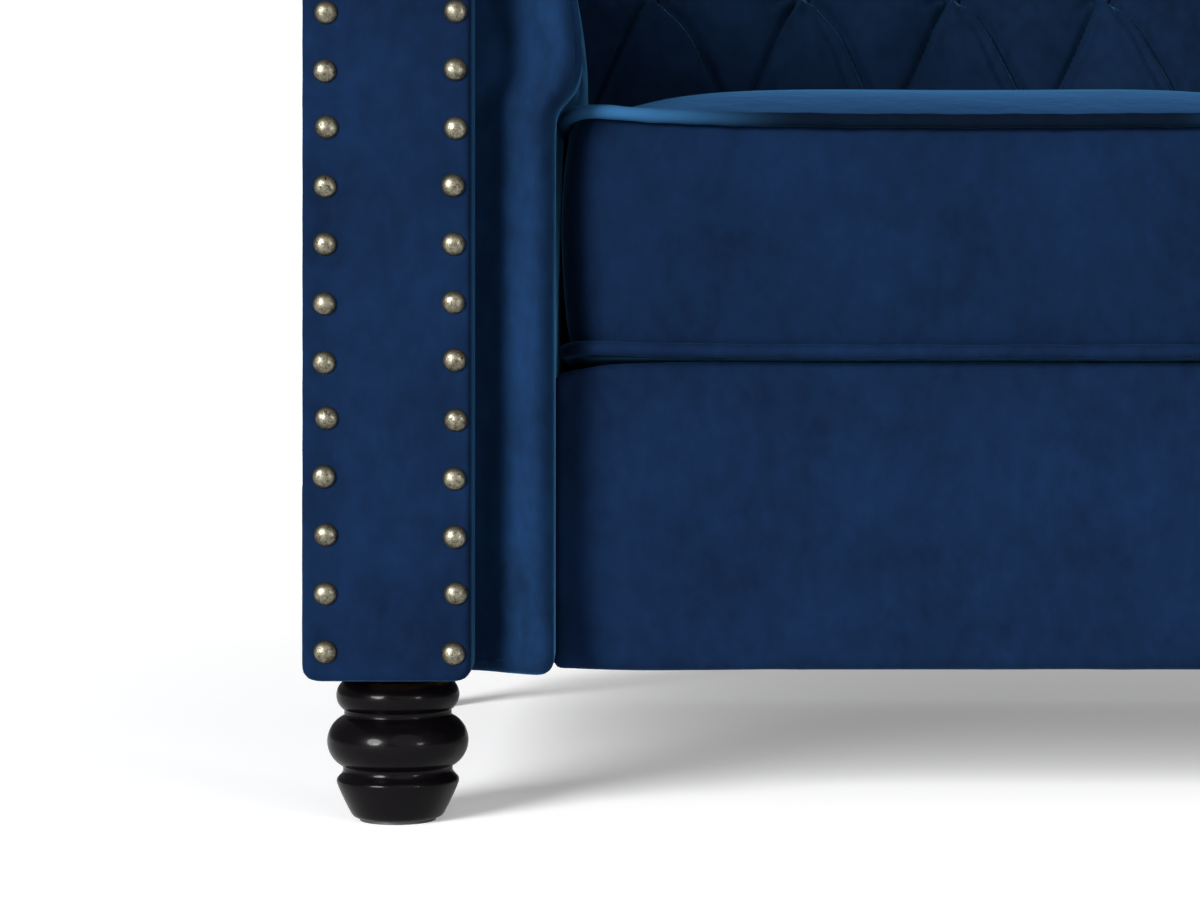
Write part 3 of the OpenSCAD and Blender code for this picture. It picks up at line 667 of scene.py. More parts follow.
def board_form(name):
    """The facing in (outward, depth, up), with rounded front edges."""
    bm = bmesh.new()
    edge = -1.6 * MM                            # the remesh and the smoothing take this much off the outline
    bm.faces.new([bm.verts.new((p, facing_front, z)) for p, z in facing_outline(edge, edge, 9 * MM)])
    front = bm.faces[:]
    raised = bmesh.ops.extrude_face_region(bm, geom=front)
    moved = [g for g in raised["geom"] if isinstance(g, bmesh.types.BMVert)]
    bmesh.ops.translate(bm, verts=moved, vec=(0, ARM_FRONT - facing_front + 8 * MM, 0))
    bm.faces.ensure_lookup_table()
    rim = [e for e in bm.edges if all(abs(v.co.y - facing_front) < MM / 10 for v in e.verts)]
    bmesh.ops.bevel(bm, geom=rim, offset=4.5 * MM, offset_type="OFFSET", segments=4, profile=0.5,
                    affect="EDGES", material=-1)
    bmesh.ops.recalc_face_normals(bm, faces=bm.faces)
    mesh = bpy.data.meshes.new(name)
    bm.to_mesh(mesh)
    bm.free()
    return mesh


CHEEK_TO, CHEEK_TOP, CHEEK_DEPTH = 85 * MM, 600 * MM, 27 * MM   # the inner edge goes back to the tucked arm
form = remeshed(board_form("facing_form"), 3.2 * MM)
form_points = points_of(form)
on_front = form_points[:, 1] < facing_front + 6 * MM
away = np.min(np.hypot(form_points[:, None, 0] - NAILS[None, :, 0],
                       form_points[:, None, 2] - NAILS[None, :, 1]), axis=1)
dimple = 2.4 * MM * np.exp(-(away / (9.5 * MM)) ** 2) * on_front
puff = 1.3 * MM * smooth_step((away - 8 * MM) / (22 * MM)) * on_front
for name, side in (("left", -1), ("right", 1)):
    mesh = form.copy()
    mesh.name = f"facing_{name}"
    co = form_points.copy()
    co[:, 1] += dimple - puff + 0.35 * MM * ripples(form_points, 0.035, side) * on_front
    beside_arm = smooth_step((CHEEK_TO - co[:, 0]) / (20 * MM)) * (co[:, 2] < CHEEK_TOP)
    co[:, 1] += CHEEK_DEPTH * beside_arm * smooth_step((co[:, 1] - ARM_FRONT) / (6 * MM))
    co[:, 0] = side * (HALF_SEAT + co[:, 0])
    set_points(mesh, co)
    if side < 0:
        mesh.flip_normals()
    reshape(mesh, lambda bm: bmesh.ops.smooth_vert(bm, verts=bm.verts, factor=0.5, use_axis_x=True,
                                                   use_axis_y=True, use_axis_z=True))
    finish(link(mesh.name, mesh), blue_velvet, "frame", (f"facing_cover_{name}", f"facing_board_{name}"))

# %% [markdown]
# Antique brass nails are stamped domes with a chemical patina: bright on the crown where hands and cloth rub
# them, brown and speckled in the low places. A metal keeps the default IOR. The speckle is two noises, one of
# 2.5 mm blotches and one of 0.7 mm grains, that mix brass with its dark oxide and roughen it.

# %% Antique brass
antique_brass, tree, shader, place = material("antique_brass_patina")
blotch = add(tree, "TexNoise", [(place, "Vector")], Scale=1 / 0.0035, Detail=4.0, Roughness=0.65)
grain = add(tree, "TexNoise", [(place, "Vector")], Scale=1 / 0.0009, Detail=2.0)
wear = add(tree, "Mix", [(blotch.outputs["Fac"], 2), (grain.outputs["Fac"], 3)], data_type="FLOAT")
wear.inputs[0].default_value = 0.38
patina = add(tree, "ValToRGB", [(wear.outputs[0], "Fac")])
patina.color_ramp.elements[0].position = 0.36
patina.color_ramp.elements[0].color = colour("#28261e")
patina.color_ramp.elements[1].position = 0.62
patina.color_ramp.elements[1].color = colour("#848070")
dull = add(tree, "MapRange", [(wear.outputs[0], "Value")], From_Min=0.4, From_Max=0.62, To_Min=0.55,
           To_Max=0.30)
pitted = add(tree, "Bump", [(wear.outputs[0], "Height")], Strength=0.35, Distance=0.0005)
tree.links.new(patina.outputs["Color"], shader.inputs["Base Color"])
tree.links.new(dull.outputs["Result"], shader.inputs["Roughness"])
tree.links.new(pitted.outputs["Normal"], shader.inputs["Normal"])
shader.inputs["Metallic"].default_value = 1.0
print(antique_brass.name, "with worn, darkened patches")

# %% Nail heads
NAIL_R = 7.25 * MM
random.seed(11)
head = [(NAIL_R * math.sin(a), 5.0 * MM * math.cos(a)) for a in np.linspace(0, math.pi / 2, 8)]
head += [(NAIL_R * 0.96, -0.6 * MM), (0, -0.6 * MM)]
for name, side in (("left", -1), ("right", 1)):
    places = []
    for p, z in NAILS:
        off = [random.uniform(-0.9, 0.9) * MM for _ in range(2)]
        lean = Vector((random.uniform(-0.07, 0.07), -1, random.uniform(-0.07, 0.07))).normalized()
        spot = (side * (HALF_SEAT + p) + off[0], facing_front + 1.6 * MM, z + off[1])
        places.append(facing_out(spot, lean, 0))
    nails = link(f"nail_heads_{name}", copies(f"nail_heads_{name}", spun(head, turns=24), places))
    finish(nails, antique_brass, "frame", (f"nailheads_{name}",))

# %% [markdown]
# The plain panels are velvet over wadding on the frame: the front rail, and the outsides of the arms and the
# back. Each is a sheet wrapped round a path in section, with rounded ends, a slight crown from the wadding,
# and a little waviness where the cloth was pulled by hand.

# %% Wrapped panels
def panel_path(points, radius, spacing=5 * MM):
    """A path of straight stretches with rounded bends, as evenly spaced points with their distances."""
    path = [np.array(points[0])]
    for before, bend, after in zip(points, points[1:], points[2:]):
        before, bend, after = (np.array(x) for x in (before, bend, after))
        a = bend + (before - bend) / np.linalg.norm(before - bend) * radius
        b = bend + (after - bend) / np.linalg.norm(after - bend) * radius
        t = np.linspace(0, 1, 9)[:, None]
        path.extend((1 - t) ** 2 * a + 2 * t * (1 - t) * bend + t ** 2 * b)
    path = np.array(path + [np.array(points[-1])])
    run = np.concatenate([[0], np.cumsum(np.hypot(*np.diff(path, axis=0).T))])
    even = np.linspace(0, run[-1], int(run[-1] / spacing))
    return np.stack([np.interp(even, run, path[:, i]) for i in (0, 1)], axis=1), even


def wrapped_panel(name, path, start, end, put, crown=3 * MM, end_r=7 * MM, wave=1.0, dip=0.0, cell=8 * MM):
    """A panel of section path that runs from start to end and turns in at both ends. put gives its points."""
    flat, even = path
    direction = np.gradient(flat, axis=0)
    direction /= np.linalg.norm(direction, axis=1)[:, None]
    normal = np.stack([-direction[:, 1], direction[:, 0]], axis=1)
    share = np.linspace(0, 1, len(flat))
    turned = end_r * math.pi / 2 + 9 * MM
    whole = end - start - 2 * end_r + 2 * turned
    at_end = np.linspace(0, turned + 12 * MM, 16)
    columns = np.concatenate([at_end, np.linspace(at_end[-1], whole - at_end[-1], int(whole / cell))[1:-1],
                              whole - at_end[::-1]])

    def place(i, j):
        d = np.interp(i, np.linspace(0, 1, len(columns)), columns)
        over = np.maximum(turned - d, d - (whole - turned)).clip(0, None)
        turn = np.clip(over / end_r, 0, math.pi / 2)
        inset = end_r * (1 - np.cos(turn)) + np.clip(over - end_r * math.pi / 2, 0, None)
        run = np.clip(start + end_r + d - turned, start + end_r, end - end_r)
        run += np.sign(d - whole / 2) * end_r * np.sin(turn) * (over > 0)
        spot = np.stack([np.interp(j, share, flat[:, k]) for k in (0, 1)], axis=1)
        n = np.stack([np.interp(j, share, normal[:, k]) for k in (0, 1)], axis=1)
        ends = np.minimum(run - start, end - run)
        middle = np.sin(np.pi * j) ** 0.5 * smooth_step(ends / 0.05)
        lumps = ripples(np.stack([run, spot[:, 0], spot[:, 1]], axis=1), 0.09, len(name))
        pulls = ripples(np.stack([run * 2.2, spot[:, 0], spot[:, 1] * 0.5], axis=1), 0.03, len(name) + 1)
        lift = crown * middle - inset + wave * (0.9 * MM * lumps + 0.25 * MM * pulls)
        spot = spot + n * lift[:, None]
        spot[:, 1] -= dip * np.exp(-ends / 0.016) * smooth_step((spot[:, 1] - 0.2) / 0.08)
        return put(spot, run)
    return bent_sheet(name, len(columns) - 1, len(flat) - 1, place)


OUTER_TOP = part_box("arm_outer_right")[1].z
OUTER_X = HALF_SEAT + ARM
OUTER_Y = BACK_FACE + ARM
RAIL_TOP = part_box("front_rail_cover")[1].z

# Section as (forward, up): from the deck, over the front and under the rail.
PANEL_TOP = RAIL_TOP - 2.5 * MM                 # a loose cushion slides over it without rubbing
rail_path = panel_path([(-50 * MM, PANEL_TOP), (0, PANEL_TOP), (0, BODY_Z), (-30 * MM, BODY_Z)], 6 * MM)
mesh = wrapped_panel("front_rail_panel", rail_path, -HALF_SEAT - 1 * MM, HALF_SEAT + 1 * MM,
                     lambda spot, run: np.stack([run, RAIL_FRONT - spot[:, 0], spot[:, 1]], axis=1),
                     crown=2 * MM, end_r=5 * MM, dip=7 * MM, wave=0.8)
finish(link(mesh.name, mesh), blue_velvet, "frame", ("front_rail_cover", "front_rail_pad"))

# Section as (forward, up): the deck cloth runs from the back to the front and turns down behind the rail.
deck_low, deck_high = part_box("deck_pad")
deck_path = panel_path([(deck_low.y - deck_high.y, deck_high.z), (0, deck_high.z), (0, deck_low.z)], 7 * MM)
mesh = wrapped_panel("seat_deck", deck_path, deck_low.x, deck_high.x,
                     lambda spot, run: np.stack([run, deck_low.y - spot[:, 0], spot[:, 1]], axis=1),
                     crown=0.8 * MM, dip=9 * MM, wave=0.3, cell=20 * MM)
seat_deck = link(mesh.name, mesh)

OVERLAP = 5 * MM                                # the top edge goes up under the roll and hides its tacking
side_path = panel_path([(-16 * MM, OUTER_TOP + OVERLAP), (0, OUTER_TOP + OVERLAP), (0, BODY_Z),
                        (-30 * MM, BODY_Z)], 4 * MM)
for name, side in (("left", -1), ("right", 1)):
    mesh = wrapped_panel(f"outer_arm_panel_{name}", side_path, ARM_FRONT + 4 * MM, OUTER_Y - 1 * MM,
                         lambda spot, run, side=side: np.stack(
                             [side * (OUTER_X + spot[:, 0]), run, spot[:, 1]], axis=1),
                         crown=2.5 * MM, end_r=3 * MM)
    if side > 0:
        mesh.flip_normals()
    finish(link(mesh.name, mesh), blue_velvet, "frame", (f"arm_outer_{name}",))

mesh = wrapped_panel("outer_back_panel", side_path, -OUTER_X + 1 * MM, OUTER_X - 1 * MM,
                     lambda spot, run: np.stack([run, OUTER_Y + spot[:, 0], spot[:, 1]], axis=1),
                     crown=2.5 * MM, end_r=3 * MM)
mesh.flip_normals()
finish(link(mesh.name, mesh), blue_velvet, "frame", ("back_outer",))

# %% [markdown]
# A seat cushion is two panels and a border sewn together with piping and filled hard with foam and fibre. The
# form starts as a box with rounded upright edges. It is remeshed, crowned, and then blown up a little by
# Blender's cloth with its seams pinned, so that the panels swell between the seams as real ones do. One
# cushion is worked out, and its neighbours are the same form turned round, as they come off one pattern.

# %% Cushion form
low_piping, high_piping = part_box("cushion_piping_middle")
CUSHION_W = high_piping.x - low_piping.x
CUSHION_D = high_piping.y - low_piping.y
CUSHION_Y = (high_piping.y + low_piping.y) / 2
CUSHION_LOW = low_piping.z
PIPE_R = 4.5 * MM
CUSHION_CORNER = 40 * MM
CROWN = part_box("cushion_cover_middle")[1].z - high_piping.z
TOP_SEAM = high_piping.z - PIPE_R
LOW_SEAM = CUSHION_LOW + PIPE_R
BODY_W = CUSHION_W - 18 * MM
BODY_D = CUSHION_D - 18 * MM
EAR = 8 * MM


def corner_lift(x, y):
    """The top seam is pulled up towards the corners of the cushion."""
    away = np.hypot(np.clip(CUSHION_W / 2 - np.abs(x), 0, None), np.clip(CUSHION_D / 2 - np.abs(y), 0, None))
    return EAR * np.exp(-np.clip(away - 0.012, 0, None) / 0.060)


def crown_share(distance, half, fullness):
    """How much of its full height a crown has at a distance in from its edge."""
    return 1 - (1 - np.clip(distance / half, 0, 1)) ** fullness


def shaped(co):
    """Crowns the top, lifts the corners and bellies the border of a boxy cushion, centred on the origin."""
    x, y, z = co.T
    dx, dy = BODY_W / 2 - np.abs(x), BODY_D / 2 - np.abs(y)
    top = smooth_step((z - (TOP_SEAM - 14 * MM)) / (14 * MM))
    rise = CROWN * crown_share(dx, BODY_W / 2, 6) * crown_share(dy, BODY_D / 2, 3)
    level = np.clip((z - LOW_SEAM) / (TOP_SEAM - LOW_SEAM), 0, 1)
    lift = (0.3 * (1 - level) + 1.0 * level) * corner_lift(x, y)
    belly = 1 + 0.026 * np.sin(np.pi * level) ** 0.7 * (1 - smooth_step((z - TOP_SEAM) / (2 * MM)))
    return np.stack([x * belly, y * belly, z + top * rise + lift], axis=1)


def cushion_box():
    """The cushion before it is filled: a box with rounded upright edges."""
    bm = bmesh.new()
    bmesh.ops.create_cube(bm, size=1)
    bmesh.ops.scale(bm, verts=bm.verts, vec=(BODY_W, BODY_D, TOP_SEAM - CUSHION_LOW + 1 * MM))
    bmesh.ops.translate(bm, verts=bm.verts, vec=(0, 0, (TOP_SEAM + CUSHION_LOW + 1 * MM) / 2))
    upright = [e for e in bm.edges if abs(e.verts[0].co.z - e.verts[1].co.z) > 0.05]
    bmesh.ops.bevel(bm, geom=upright, offset=CUSHION_CORNER - 9 * MM, offset_type="OFFSET", segments=8,
                    profile=0.5, affect="EDGES", material=-1)
    mesh = bpy.data.meshes.new("cushion_form")
    bm.to_mesh(mesh)
    bm.free()
    return mesh


def seam_distance(co):
    """Distance of each point from the nearer seam, before the cushion is shaped."""
    x, y, z = co.T
    edge = np.minimum(BODY_W / 2 - np.abs(x), BODY_D / 2 - np.abs(y))
    return np.hypot(np.clip(edge, 0, None), np.minimum(np.abs(z - TOP_SEAM), np.abs(z - LOW_SEAM)))


def blown_up(mesh, held, cap):
    """Fills a closed mesh with air for 20 frames of cloth, holding some points, and caps the movement."""
    piece = link("cushion_under_pressure", mesh)
    group = piece.vertex_groups.new(name="held")
    for index, weight in enumerate(held):
        group.add([index], float(weight), "REPLACE")
    cloth = piece.modifiers.new("cloth", "CLOTH")
    cloth.settings.vertex_group_mass = "held"
    cloth.settings.use_pressure = True
    cloth.settings.uniform_pressure_force = 4
    cloth.settings.effector_weights.gravity = 0
    start = points_of(mesh).copy()
    for frame_number in range(1, 21):
        scene.frame_set(frame_number)
    made = bpy.data.meshes.new_from_object(piece.evaluated_get(bpy.context.evaluated_depsgraph_get()))
    moved = points_of(made) - start
    size = np.linalg.norm(moved, axis=1)[:, None]
    set_points(made, start + moved * np.minimum(1, cap / np.maximum(size, 1e-9)))
    bpy.data.objects.remove(piece)
    scene.frame_set(1)
    print("cloth moved the form by up to", round(float(size.max()), 4), "m")
    return made


cushion_form = remeshed(cushion_box(), 7 * MM)
boxy = points_of(cushion_form).copy()
set_points(cushion_form, shaped(boxy))
under = boxy[:, 2] < CUSHION_LOW + 4 * MM
near_seam = np.clip(1.2 - seam_distance(boxy) / (16 * MM), 0, 1)
held = np.where(under, 1.0, near_seam)
cushion_form = blown_up(cushion_form, held, 7 * MM)
resting = points_of(cushion_form).copy()
resting[:, 2] = np.maximum(resting[:, 2], CUSHION_LOW + 0.2 * MM)
print(len(resting), "points in a cushion")

# %% [markdown]
# The border and the top are never quite smooth: the cloth pulls towards each seam in short gathers, and a
# sat-on top has a few long soft dents. Then each cushion gets its place, and a subdivision rounds off the
# cells.

# %% Cushions
SEATS = {"left": -1, "middle": 0, "right": 1}
seat_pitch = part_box("cushion_piping_right")[0].x - low_piping.x
for name, seat in SEATS.items():
    flip = -1 if seat == 0 else 1
    co = resting.copy()
    gathers = ripples(np.stack([co[:, 0] * 3.2, co[:, 1] * 3.2, co[:, 2] * 0.6], axis=1), 0.05, seat + 3)
    dents = ripples(co, 0.16, seat + 9)
    close = np.clip(1 - seam_distance(boxy) / 0.05, 0, 1) * (1 - under)
    open_cloth = smooth_step(seam_distance(boxy) / 0.06)
    lift = (0.9 * MM * gathers * close + 1.6 * MM * dents * open_cloth) * (1 - under)
    out = np.stack([co[:, 0] / BODY_W * 2, co[:, 1] / BODY_D * 2, (co[:, 2] - 0.37) * 7], axis=1)
    out /= np.linalg.norm(out, axis=1)[:, None]
    co += out * lift[:, None]
    co[:, 0] = flip * co[:, 0] + seat * seat_pitch
    co[:, 1] += CUSHION_Y
    co[:, 2] = np.maximum(co[:, 2], CUSHION_LOW + 0.2 * MM)
    mesh = cushion_form.copy()
    mesh.name = f"seat_cushion_{name}"
    set_points(mesh, co)
    if flip < 0:
        mesh.flip_normals()
    mesh.shade_smooth()
    cushion = link(mesh.name, mesh)
    smooth = cushion.modifiers.new("rounding", "SUBSURF")
    smooth.levels = smooth.render_levels = 1
    inside = (f"cushion_cover_{name}", f"cushion_foam_{name}")
    finish(cushion, seat_velvet_painted_light_top, f"cushion_{name}", inside)

# %% [markdown]
# Piping is a cord in a strip of velvet cut on the bias. On the top seam it is painted almost black along the
# straights, which is painted shade under the crown, and pale blue round a cushion's corners, which is painted
# light. How far a point lies from the cushion's middle, across and in depth, says how near it is to a corner.
# Small pulls, 9 mm long, come from the sewing.

# %% Velvet on the bias
CORNER_LIGHT_ACROSS = (115 * MM, 255 * MM)            # from the cushion's middle: where the painted corner light starts, and is full
CORNER_LIGHT_DEEP = (190 * MM, 262 * MM)
PULL = 9 * MM

piping_velvet_painted_shade_and_light, tree, shader, place = material("cotton_velvet_bias_painted_shade_and_light")
apart = add(tree, "SeparateXYZ", [(place, "Vector")])
from_middle = add(tree, "Math", [(apart.outputs["X"], 0)], operation="PINGPONG")
from_middle.inputs[1].default_value = seat_pitch / 2
near_side = add(tree, "MapRange", [(from_middle.outputs[0], "Value")], interpolation_type="SMOOTHSTEP",
                From_Min=CORNER_LIGHT_ACROSS[0], From_Max=CORNER_LIGHT_ACROSS[1])
off_centre = add(tree, "Math", [(apart.outputs["Y"], 0)], operation="SUBTRACT")
off_centre.inputs[1].default_value = CUSHION_Y
depth_off = add(tree, "Math", [(off_centre.outputs[0], 0)], operation="ABSOLUTE")
near_end = add(tree, "MapRange", [(depth_off.outputs[0], "Value")], From_Min=CORNER_LIGHT_DEEP[0],
               From_Max=CORNER_LIGHT_DEEP[1])
corner = add(tree, "Math", [(near_side.outputs["Result"], 0), (near_end.outputs["Result"], 1)],
             operation="MULTIPLY")
pulls = add(tree, "TexNoise", [(place, "Vector")], Scale=1 / PULL, Detail=4.0, Roughness=0.6)
lie = add(tree, "Mix", [(pulls.outputs["Fac"], 0)], data_type="RGBA")
# These near-black tones are painted shade under the overhanging crown.
lie.inputs[6].default_value = colour("#02070f")
lie.inputs[7].default_value = colour("#050e1c")
tone = add(tree, "Mix", [(corner.outputs[0], 0), (lie.outputs[2], 6)], data_type="RGBA")
# The pale corner tone is painted light.
tone.inputs[7].default_value = colour("#234a6e")
raised = add(tree, "Bump", [(pulls.outputs["Fac"], "Height")], Strength=0.3, Distance=0.0012)
tree.links.new(tone.outputs[2], shader.inputs["Base Color"])
tree.links.new(raised.outputs["Normal"], shader.inputs["Normal"])
cut_pile(shader, sheen=0.18)
print(piping_velvet_painted_shade_and_light.name, "is pale round the corners of each", round(seat_pitch, 3), "m cushion")

# %% [markdown]
# The cord is a tube swept along the seam: a rounded rectangle that rises a little at the corners of the top
# seam. On its inner side the tube runs out to a thin flange, as the strip's two edges do where they are sewn
# in, so that no gap shows between the cord and the cushion.

# %% Piping
FLANGE = 9 * MM


def rounded_rectangle(w, d, r, spacing=5 * MM):
    """Evenly spaced points round a rectangle with rounded corners, without the closing point."""
    corners = [(w / 2 - r, d / 2 - r, 0), (r - w / 2, d / 2 - r, 1), (r - w / 2, r - d / 2, 2),
               (w / 2 - r, r - d / 2, 3)]
    line = np.concatenate([arc(pair(cx, cy), r, k * math.pi / 2, (k + 1) * math.pi / 2, 16)
                           for cx, cy, k in corners])
    line = np.concatenate([line, line[:1]])
    run = np.concatenate([[0], np.cumsum(np.hypot(*np.diff(line, axis=0).T))])
    even = np.linspace(0, run[-1], int(run[-1] / spacing) + 1)
    return np.stack([np.interp(even, run, line[:, i]) for i in (0, 1)], axis=1)


def swept_cord(name, line, height, seed):
    """A closed cord along a level line, with its flange inside and the height of each of its points."""
    ahead = np.roll(line[:-1], -1, axis=0) - np.roll(line[:-1], 1, axis=0)
    ahead /= np.linalg.norm(ahead, axis=1)[:, None]
    ahead = np.concatenate([ahead, ahead[:1]])
    share = np.linspace(0, 1, len(line))

    def place(i, j):
        centre = np.stack([np.interp(j, share, line[:, k]) for k in (0, 1)], axis=1)
        out = np.stack([np.interp(j, share, ahead[:, 1]), -np.interp(j, share, ahead[:, 0])], axis=1)
        turn = 2 * math.pi * i
        long_lumps = 0.035 * np.sin(2 * math.pi * (31 * j + i))
        short_lumps = 0.03 * np.sin(2 * math.pi * 83 * j + seed)
        lump = PIPE_R * (1 + long_lumps + short_lumps)
        flange = FLANGE * np.clip(-np.cos(turn), 0, 1) ** 6
        side = centre + out * (np.cos(turn) * lump - flange)[:, None]
        z = np.interp(j, share, height) + np.sin(turn) * lump
        return np.stack([side[:, 0], side[:, 1], z], axis=1)
    mesh = bent_sheet(name, 14, len(line) - 1, place)
    reshape(mesh, lambda bm: bmesh.ops.remove_doubles(bm, verts=bm.verts, dist=1e-5),
            lambda bm: bmesh.ops.recalc_face_normals(bm, faces=bm.faces))
    return mesh


seam_line = rounded_rectangle(CUSHION_W - 2 * PIPE_R, CUSHION_D - 2 * PIPE_R, CUSHION_CORNER - PIPE_R)
for name, seat in SEATS.items():
    for level, base, lift in (("top", TOP_SEAM, 1.0), ("bottom", LOW_SEAM, 0.4)):
        height = base + lift * corner_lift(seam_line[:, 0], seam_line[:, 1])
        mesh = swept_cord(f"piping_{level}_{name}", seam_line, height, seat)
        co = points_of(mesh)
        set_points(mesh, co + np.array([seat * seat_pitch, CUSHION_Y, 0]))
        nodes = (f"cushion_piping_{name}",) if level == "top" else ()
        cloth = piping_velvet_painted_shade_and_light if level == "top" else blue_velvet
        finish(link(mesh.name, mesh), cloth, f"cushion_{name}", nodes)

# %% [markdown]
# The feet are turned beech under black lacquer. Turning leaves beads and coves that are true circles about
# the foot's axis, so a spun profile is exact. Lacquer is a dark stain under a smooth clear coat of IOR 1.5,
# with faint ripples of brush and orange peel that soften the edges of reflections.

# %% Black lacquer
black_lacquer, tree, shader, place = material("black_lacquer_on_beech")
peel = add(tree, "TexNoise", [(place, "Vector")], Scale=1 / 0.006, Detail=2.0)
cloud = add(tree, "TexNoise", [(place, "Vector")], Scale=1 / 0.04, Detail=3.0)
stain = add(tree, "ValToRGB", [(cloud.outputs["Fac"], "Fac")])
stain.color_ramp.elements[0].color = colour("#030203")
stain.color_ramp.elements[1].color = colour("#080608")
wet = add(tree, "Bump", [(peel.outputs["Fac"], "Height")], Strength=0.10, Distance=0.0006)
haze = add(tree, "MapRange", [(cloud.outputs["Fac"], "Value")], To_Min=0.22, To_Max=0.34)
tree.links.new(stain.outputs["Color"], shader.inputs["Base Color"])
tree.links.new(haze.outputs["Result"], shader.inputs["Roughness"])
tree.links.new(wet.outputs["Normal"], shader.inputs["Normal"])
tree.links.new(wet.outputs["Normal"], shader.inputs["Coat Normal"])
shader.inputs["IOR"].default_value = 1.5
shader.inputs["Specular IOR Level"].default_value = 0.04
shader.inputs["Coat Weight"].default_value = 0.09
shader.inputs["Coat Roughness"].default_value = 0.10
print(black_lacquer.name, "under a thin clear coat")


# %% Turned feet
def turned_foot(name, x, y):
    """Radius and height, in millimetres, from the top down: neck, small bead, large bead and flared cup."""
    bead_turn = np.radians(np.arange(78, -62, -9))
    bead = [(27.6 + 11.2 * math.cos(a), 78.8 + 11.2 * math.sin(a)) for a in bead_turn]
    big_turn = np.radians(np.arange(62, -66, -7))
    big = [(27 + 17.5 * math.cos(a), 50 + 17.5 * math.sin(a)) for a in big_turn]
    cup = [(34.6, 33.4), (34.4, 31.6), (35.4, 29.6), (37.2, 27.8), (38.3, 26.4), (38.6, 25.2), (38.3, 23.6),
           (37.2, 20.6), (35.6, 17.0), (33.4, 12.4), (31.0, 7.6), (29.4, 4.6), (28.2, 3.0), (26.6, 2.2),
           (25.0, 2.0)]
    profile = [(0, 97), (30, 97), (30, 90.2)] + bead + [(33.9, 68.4), (33.7, 67.2), (34.1, 66.0)] + big + cup
    bm = spun([(r * MM, z * MM) for r, z in profile + [(0, 2.0)]], turns=96)
    bmesh.ops.translate(bm, verts=bm.verts, vec=(x, y, 0))
    mesh = bpy.data.meshes.new(name)
    bm.to_mesh(mesh)
    bm.free()
    mesh.shade_smooth()
    return link(name, mesh)


for side in ("left", "right"):
    low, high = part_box(f"foot_front_{side}")
    foot = turned_foot(f"turned_foot_{side}", (low.x + high.x) / 2, (low.y + high.y) / 2)
    finish(foot, black_lacquer, "frame", (f"foot_front_{side}",))

# %% [markdown]
# Under the covers the frame is beech and birch plywood, the springs are tempered wire, and the cloths are
# jute and black cotton. They are CAD nodes whose shapes are right, so each only gets its real material. Beech
# grain is thin streaks along the length. A weave is two sets of bands at the thread spacing.

# %% Wood, foam, cloth and metal under the covers
def woods(name, pale, dark, ring):
    made, tree, shader, place = material(name)
    stretched = add(tree, "Mapping", [(place, "Vector")], Scale=(0.18, 1.0, 1.0))
    grain = add(tree, "TexNoise", [(stretched.outputs["Vector"], "Vector")], Scale=1 / ring, Detail=6.0,
                Roughness=0.6)
    tone = add(tree, "ValToRGB", [(grain.outputs["Fac"], "Fac")])
    tone.color_ramp.elements[0].position = 0.35
    tone.color_ramp.elements[0].color = colour(dark)
    tone.color_ramp.elements[1].position = 0.65
    tone.color_ramp.elements[1].color = colour(pale)
    rough = add(tree, "Bump", [(grain.outputs["Fac"], "Height")], Strength=0.2, Distance=0.0004)
    tree.links.new(tone.outputs["Color"], shader.inputs["Base Color"])
    tree.links.new(rough.outputs["Normal"], shader.inputs["Normal"])
    shader.inputs["Roughness"].default_value = 0.6
    return made


def woven(name, thread_colour, gap_colour, spacing):
    """A plain weave: threads at a real spacing along X and Y, and along Z where a sheet stands up."""
    made, tree, shader, place = material(name)
    bands = [add(tree, "TexWave", [(place, "Vector")], wave_type="BANDS", bands_direction=way,
                 Scale=1 / spacing / 20 * math.pi, Distortion=1.2, Detail=1.0) for way in ("X", "Y", "Z")]
    two = add(tree, "Math", [(bands[0].outputs["Fac"], 0), (bands[1].outputs["Fac"], 1)],
              operation="MULTIPLY")
    three = add(tree, "Math", [(two.outputs[0], 0), (bands[2].outputs["Fac"], 1)], operation="MAXIMUM")
    tone = add(tree, "ValToRGB", [(three.outputs[0], "Fac")])
    tone.color_ramp.elements[0].color = colour(gap_colour)
    tone.color_ramp.elements[1].color = colour(thread_colour)
    raised = add(tree, "Bump", [(three.outputs[0], "Height")], Strength=0.5, Distance=0.0006)
    tree.links.new(tone.outputs["Color"], shader.inputs["Base Color"])
    tree.links.new(raised.outputs["Normal"], shader.inputs["Normal"])
    shader.inputs["Roughness"].default_value = 0.9
    return made


def drawn_metal(name, bright, dark, roughness):
    made, tree, shader, place = material(name)
    mottle = add(tree, "TexNoise", [(place, "Vector")], Scale=1 / 0.008, Detail=4.0)
    tone = add(tree, "ValToRGB", [(mottle.outputs["Fac"], "Fac")])
    tone.color_ramp.elements[0].color = colour(dark)
    tone.color_ramp.elements[1].color = colour(bright)
    tree.links.new(tone.outputs["Color"], shader.inputs["Base Color"])
    shader.inputs["Metallic"].default_value = 1.0
    shader.inputs["Roughness"].default_value = roughness
    return made


def moulded(name, base, roughness, cell):
    made, tree, shader, place = material(name)
    texture = add(tree, "TexNoise", [(place, "Vector")], Scale=1 / cell, Detail=3.0)
    tone = add(tree, "ValToRGB", [(texture.outputs["Fac"], "Fac")])
    tone.color_ramp.elements[0].color = tuple(c * 0.75 for c in colour(base)[:3]) + (1.0,)
    tone.color_ramp.elements[1].color = colour(base)
    skin = add(tree, "Bump", [(texture.outputs["Fac"], "Height")], Strength=0.3, Distance=0.0005)
    tree.links.new(tone.outputs["Color"], shader.inputs["Base Color"])
    tree.links.new(skin.outputs["Normal"], shader.inputs["Normal"])
    shader.inputs["Roughness"].default_value = roughness
    return made


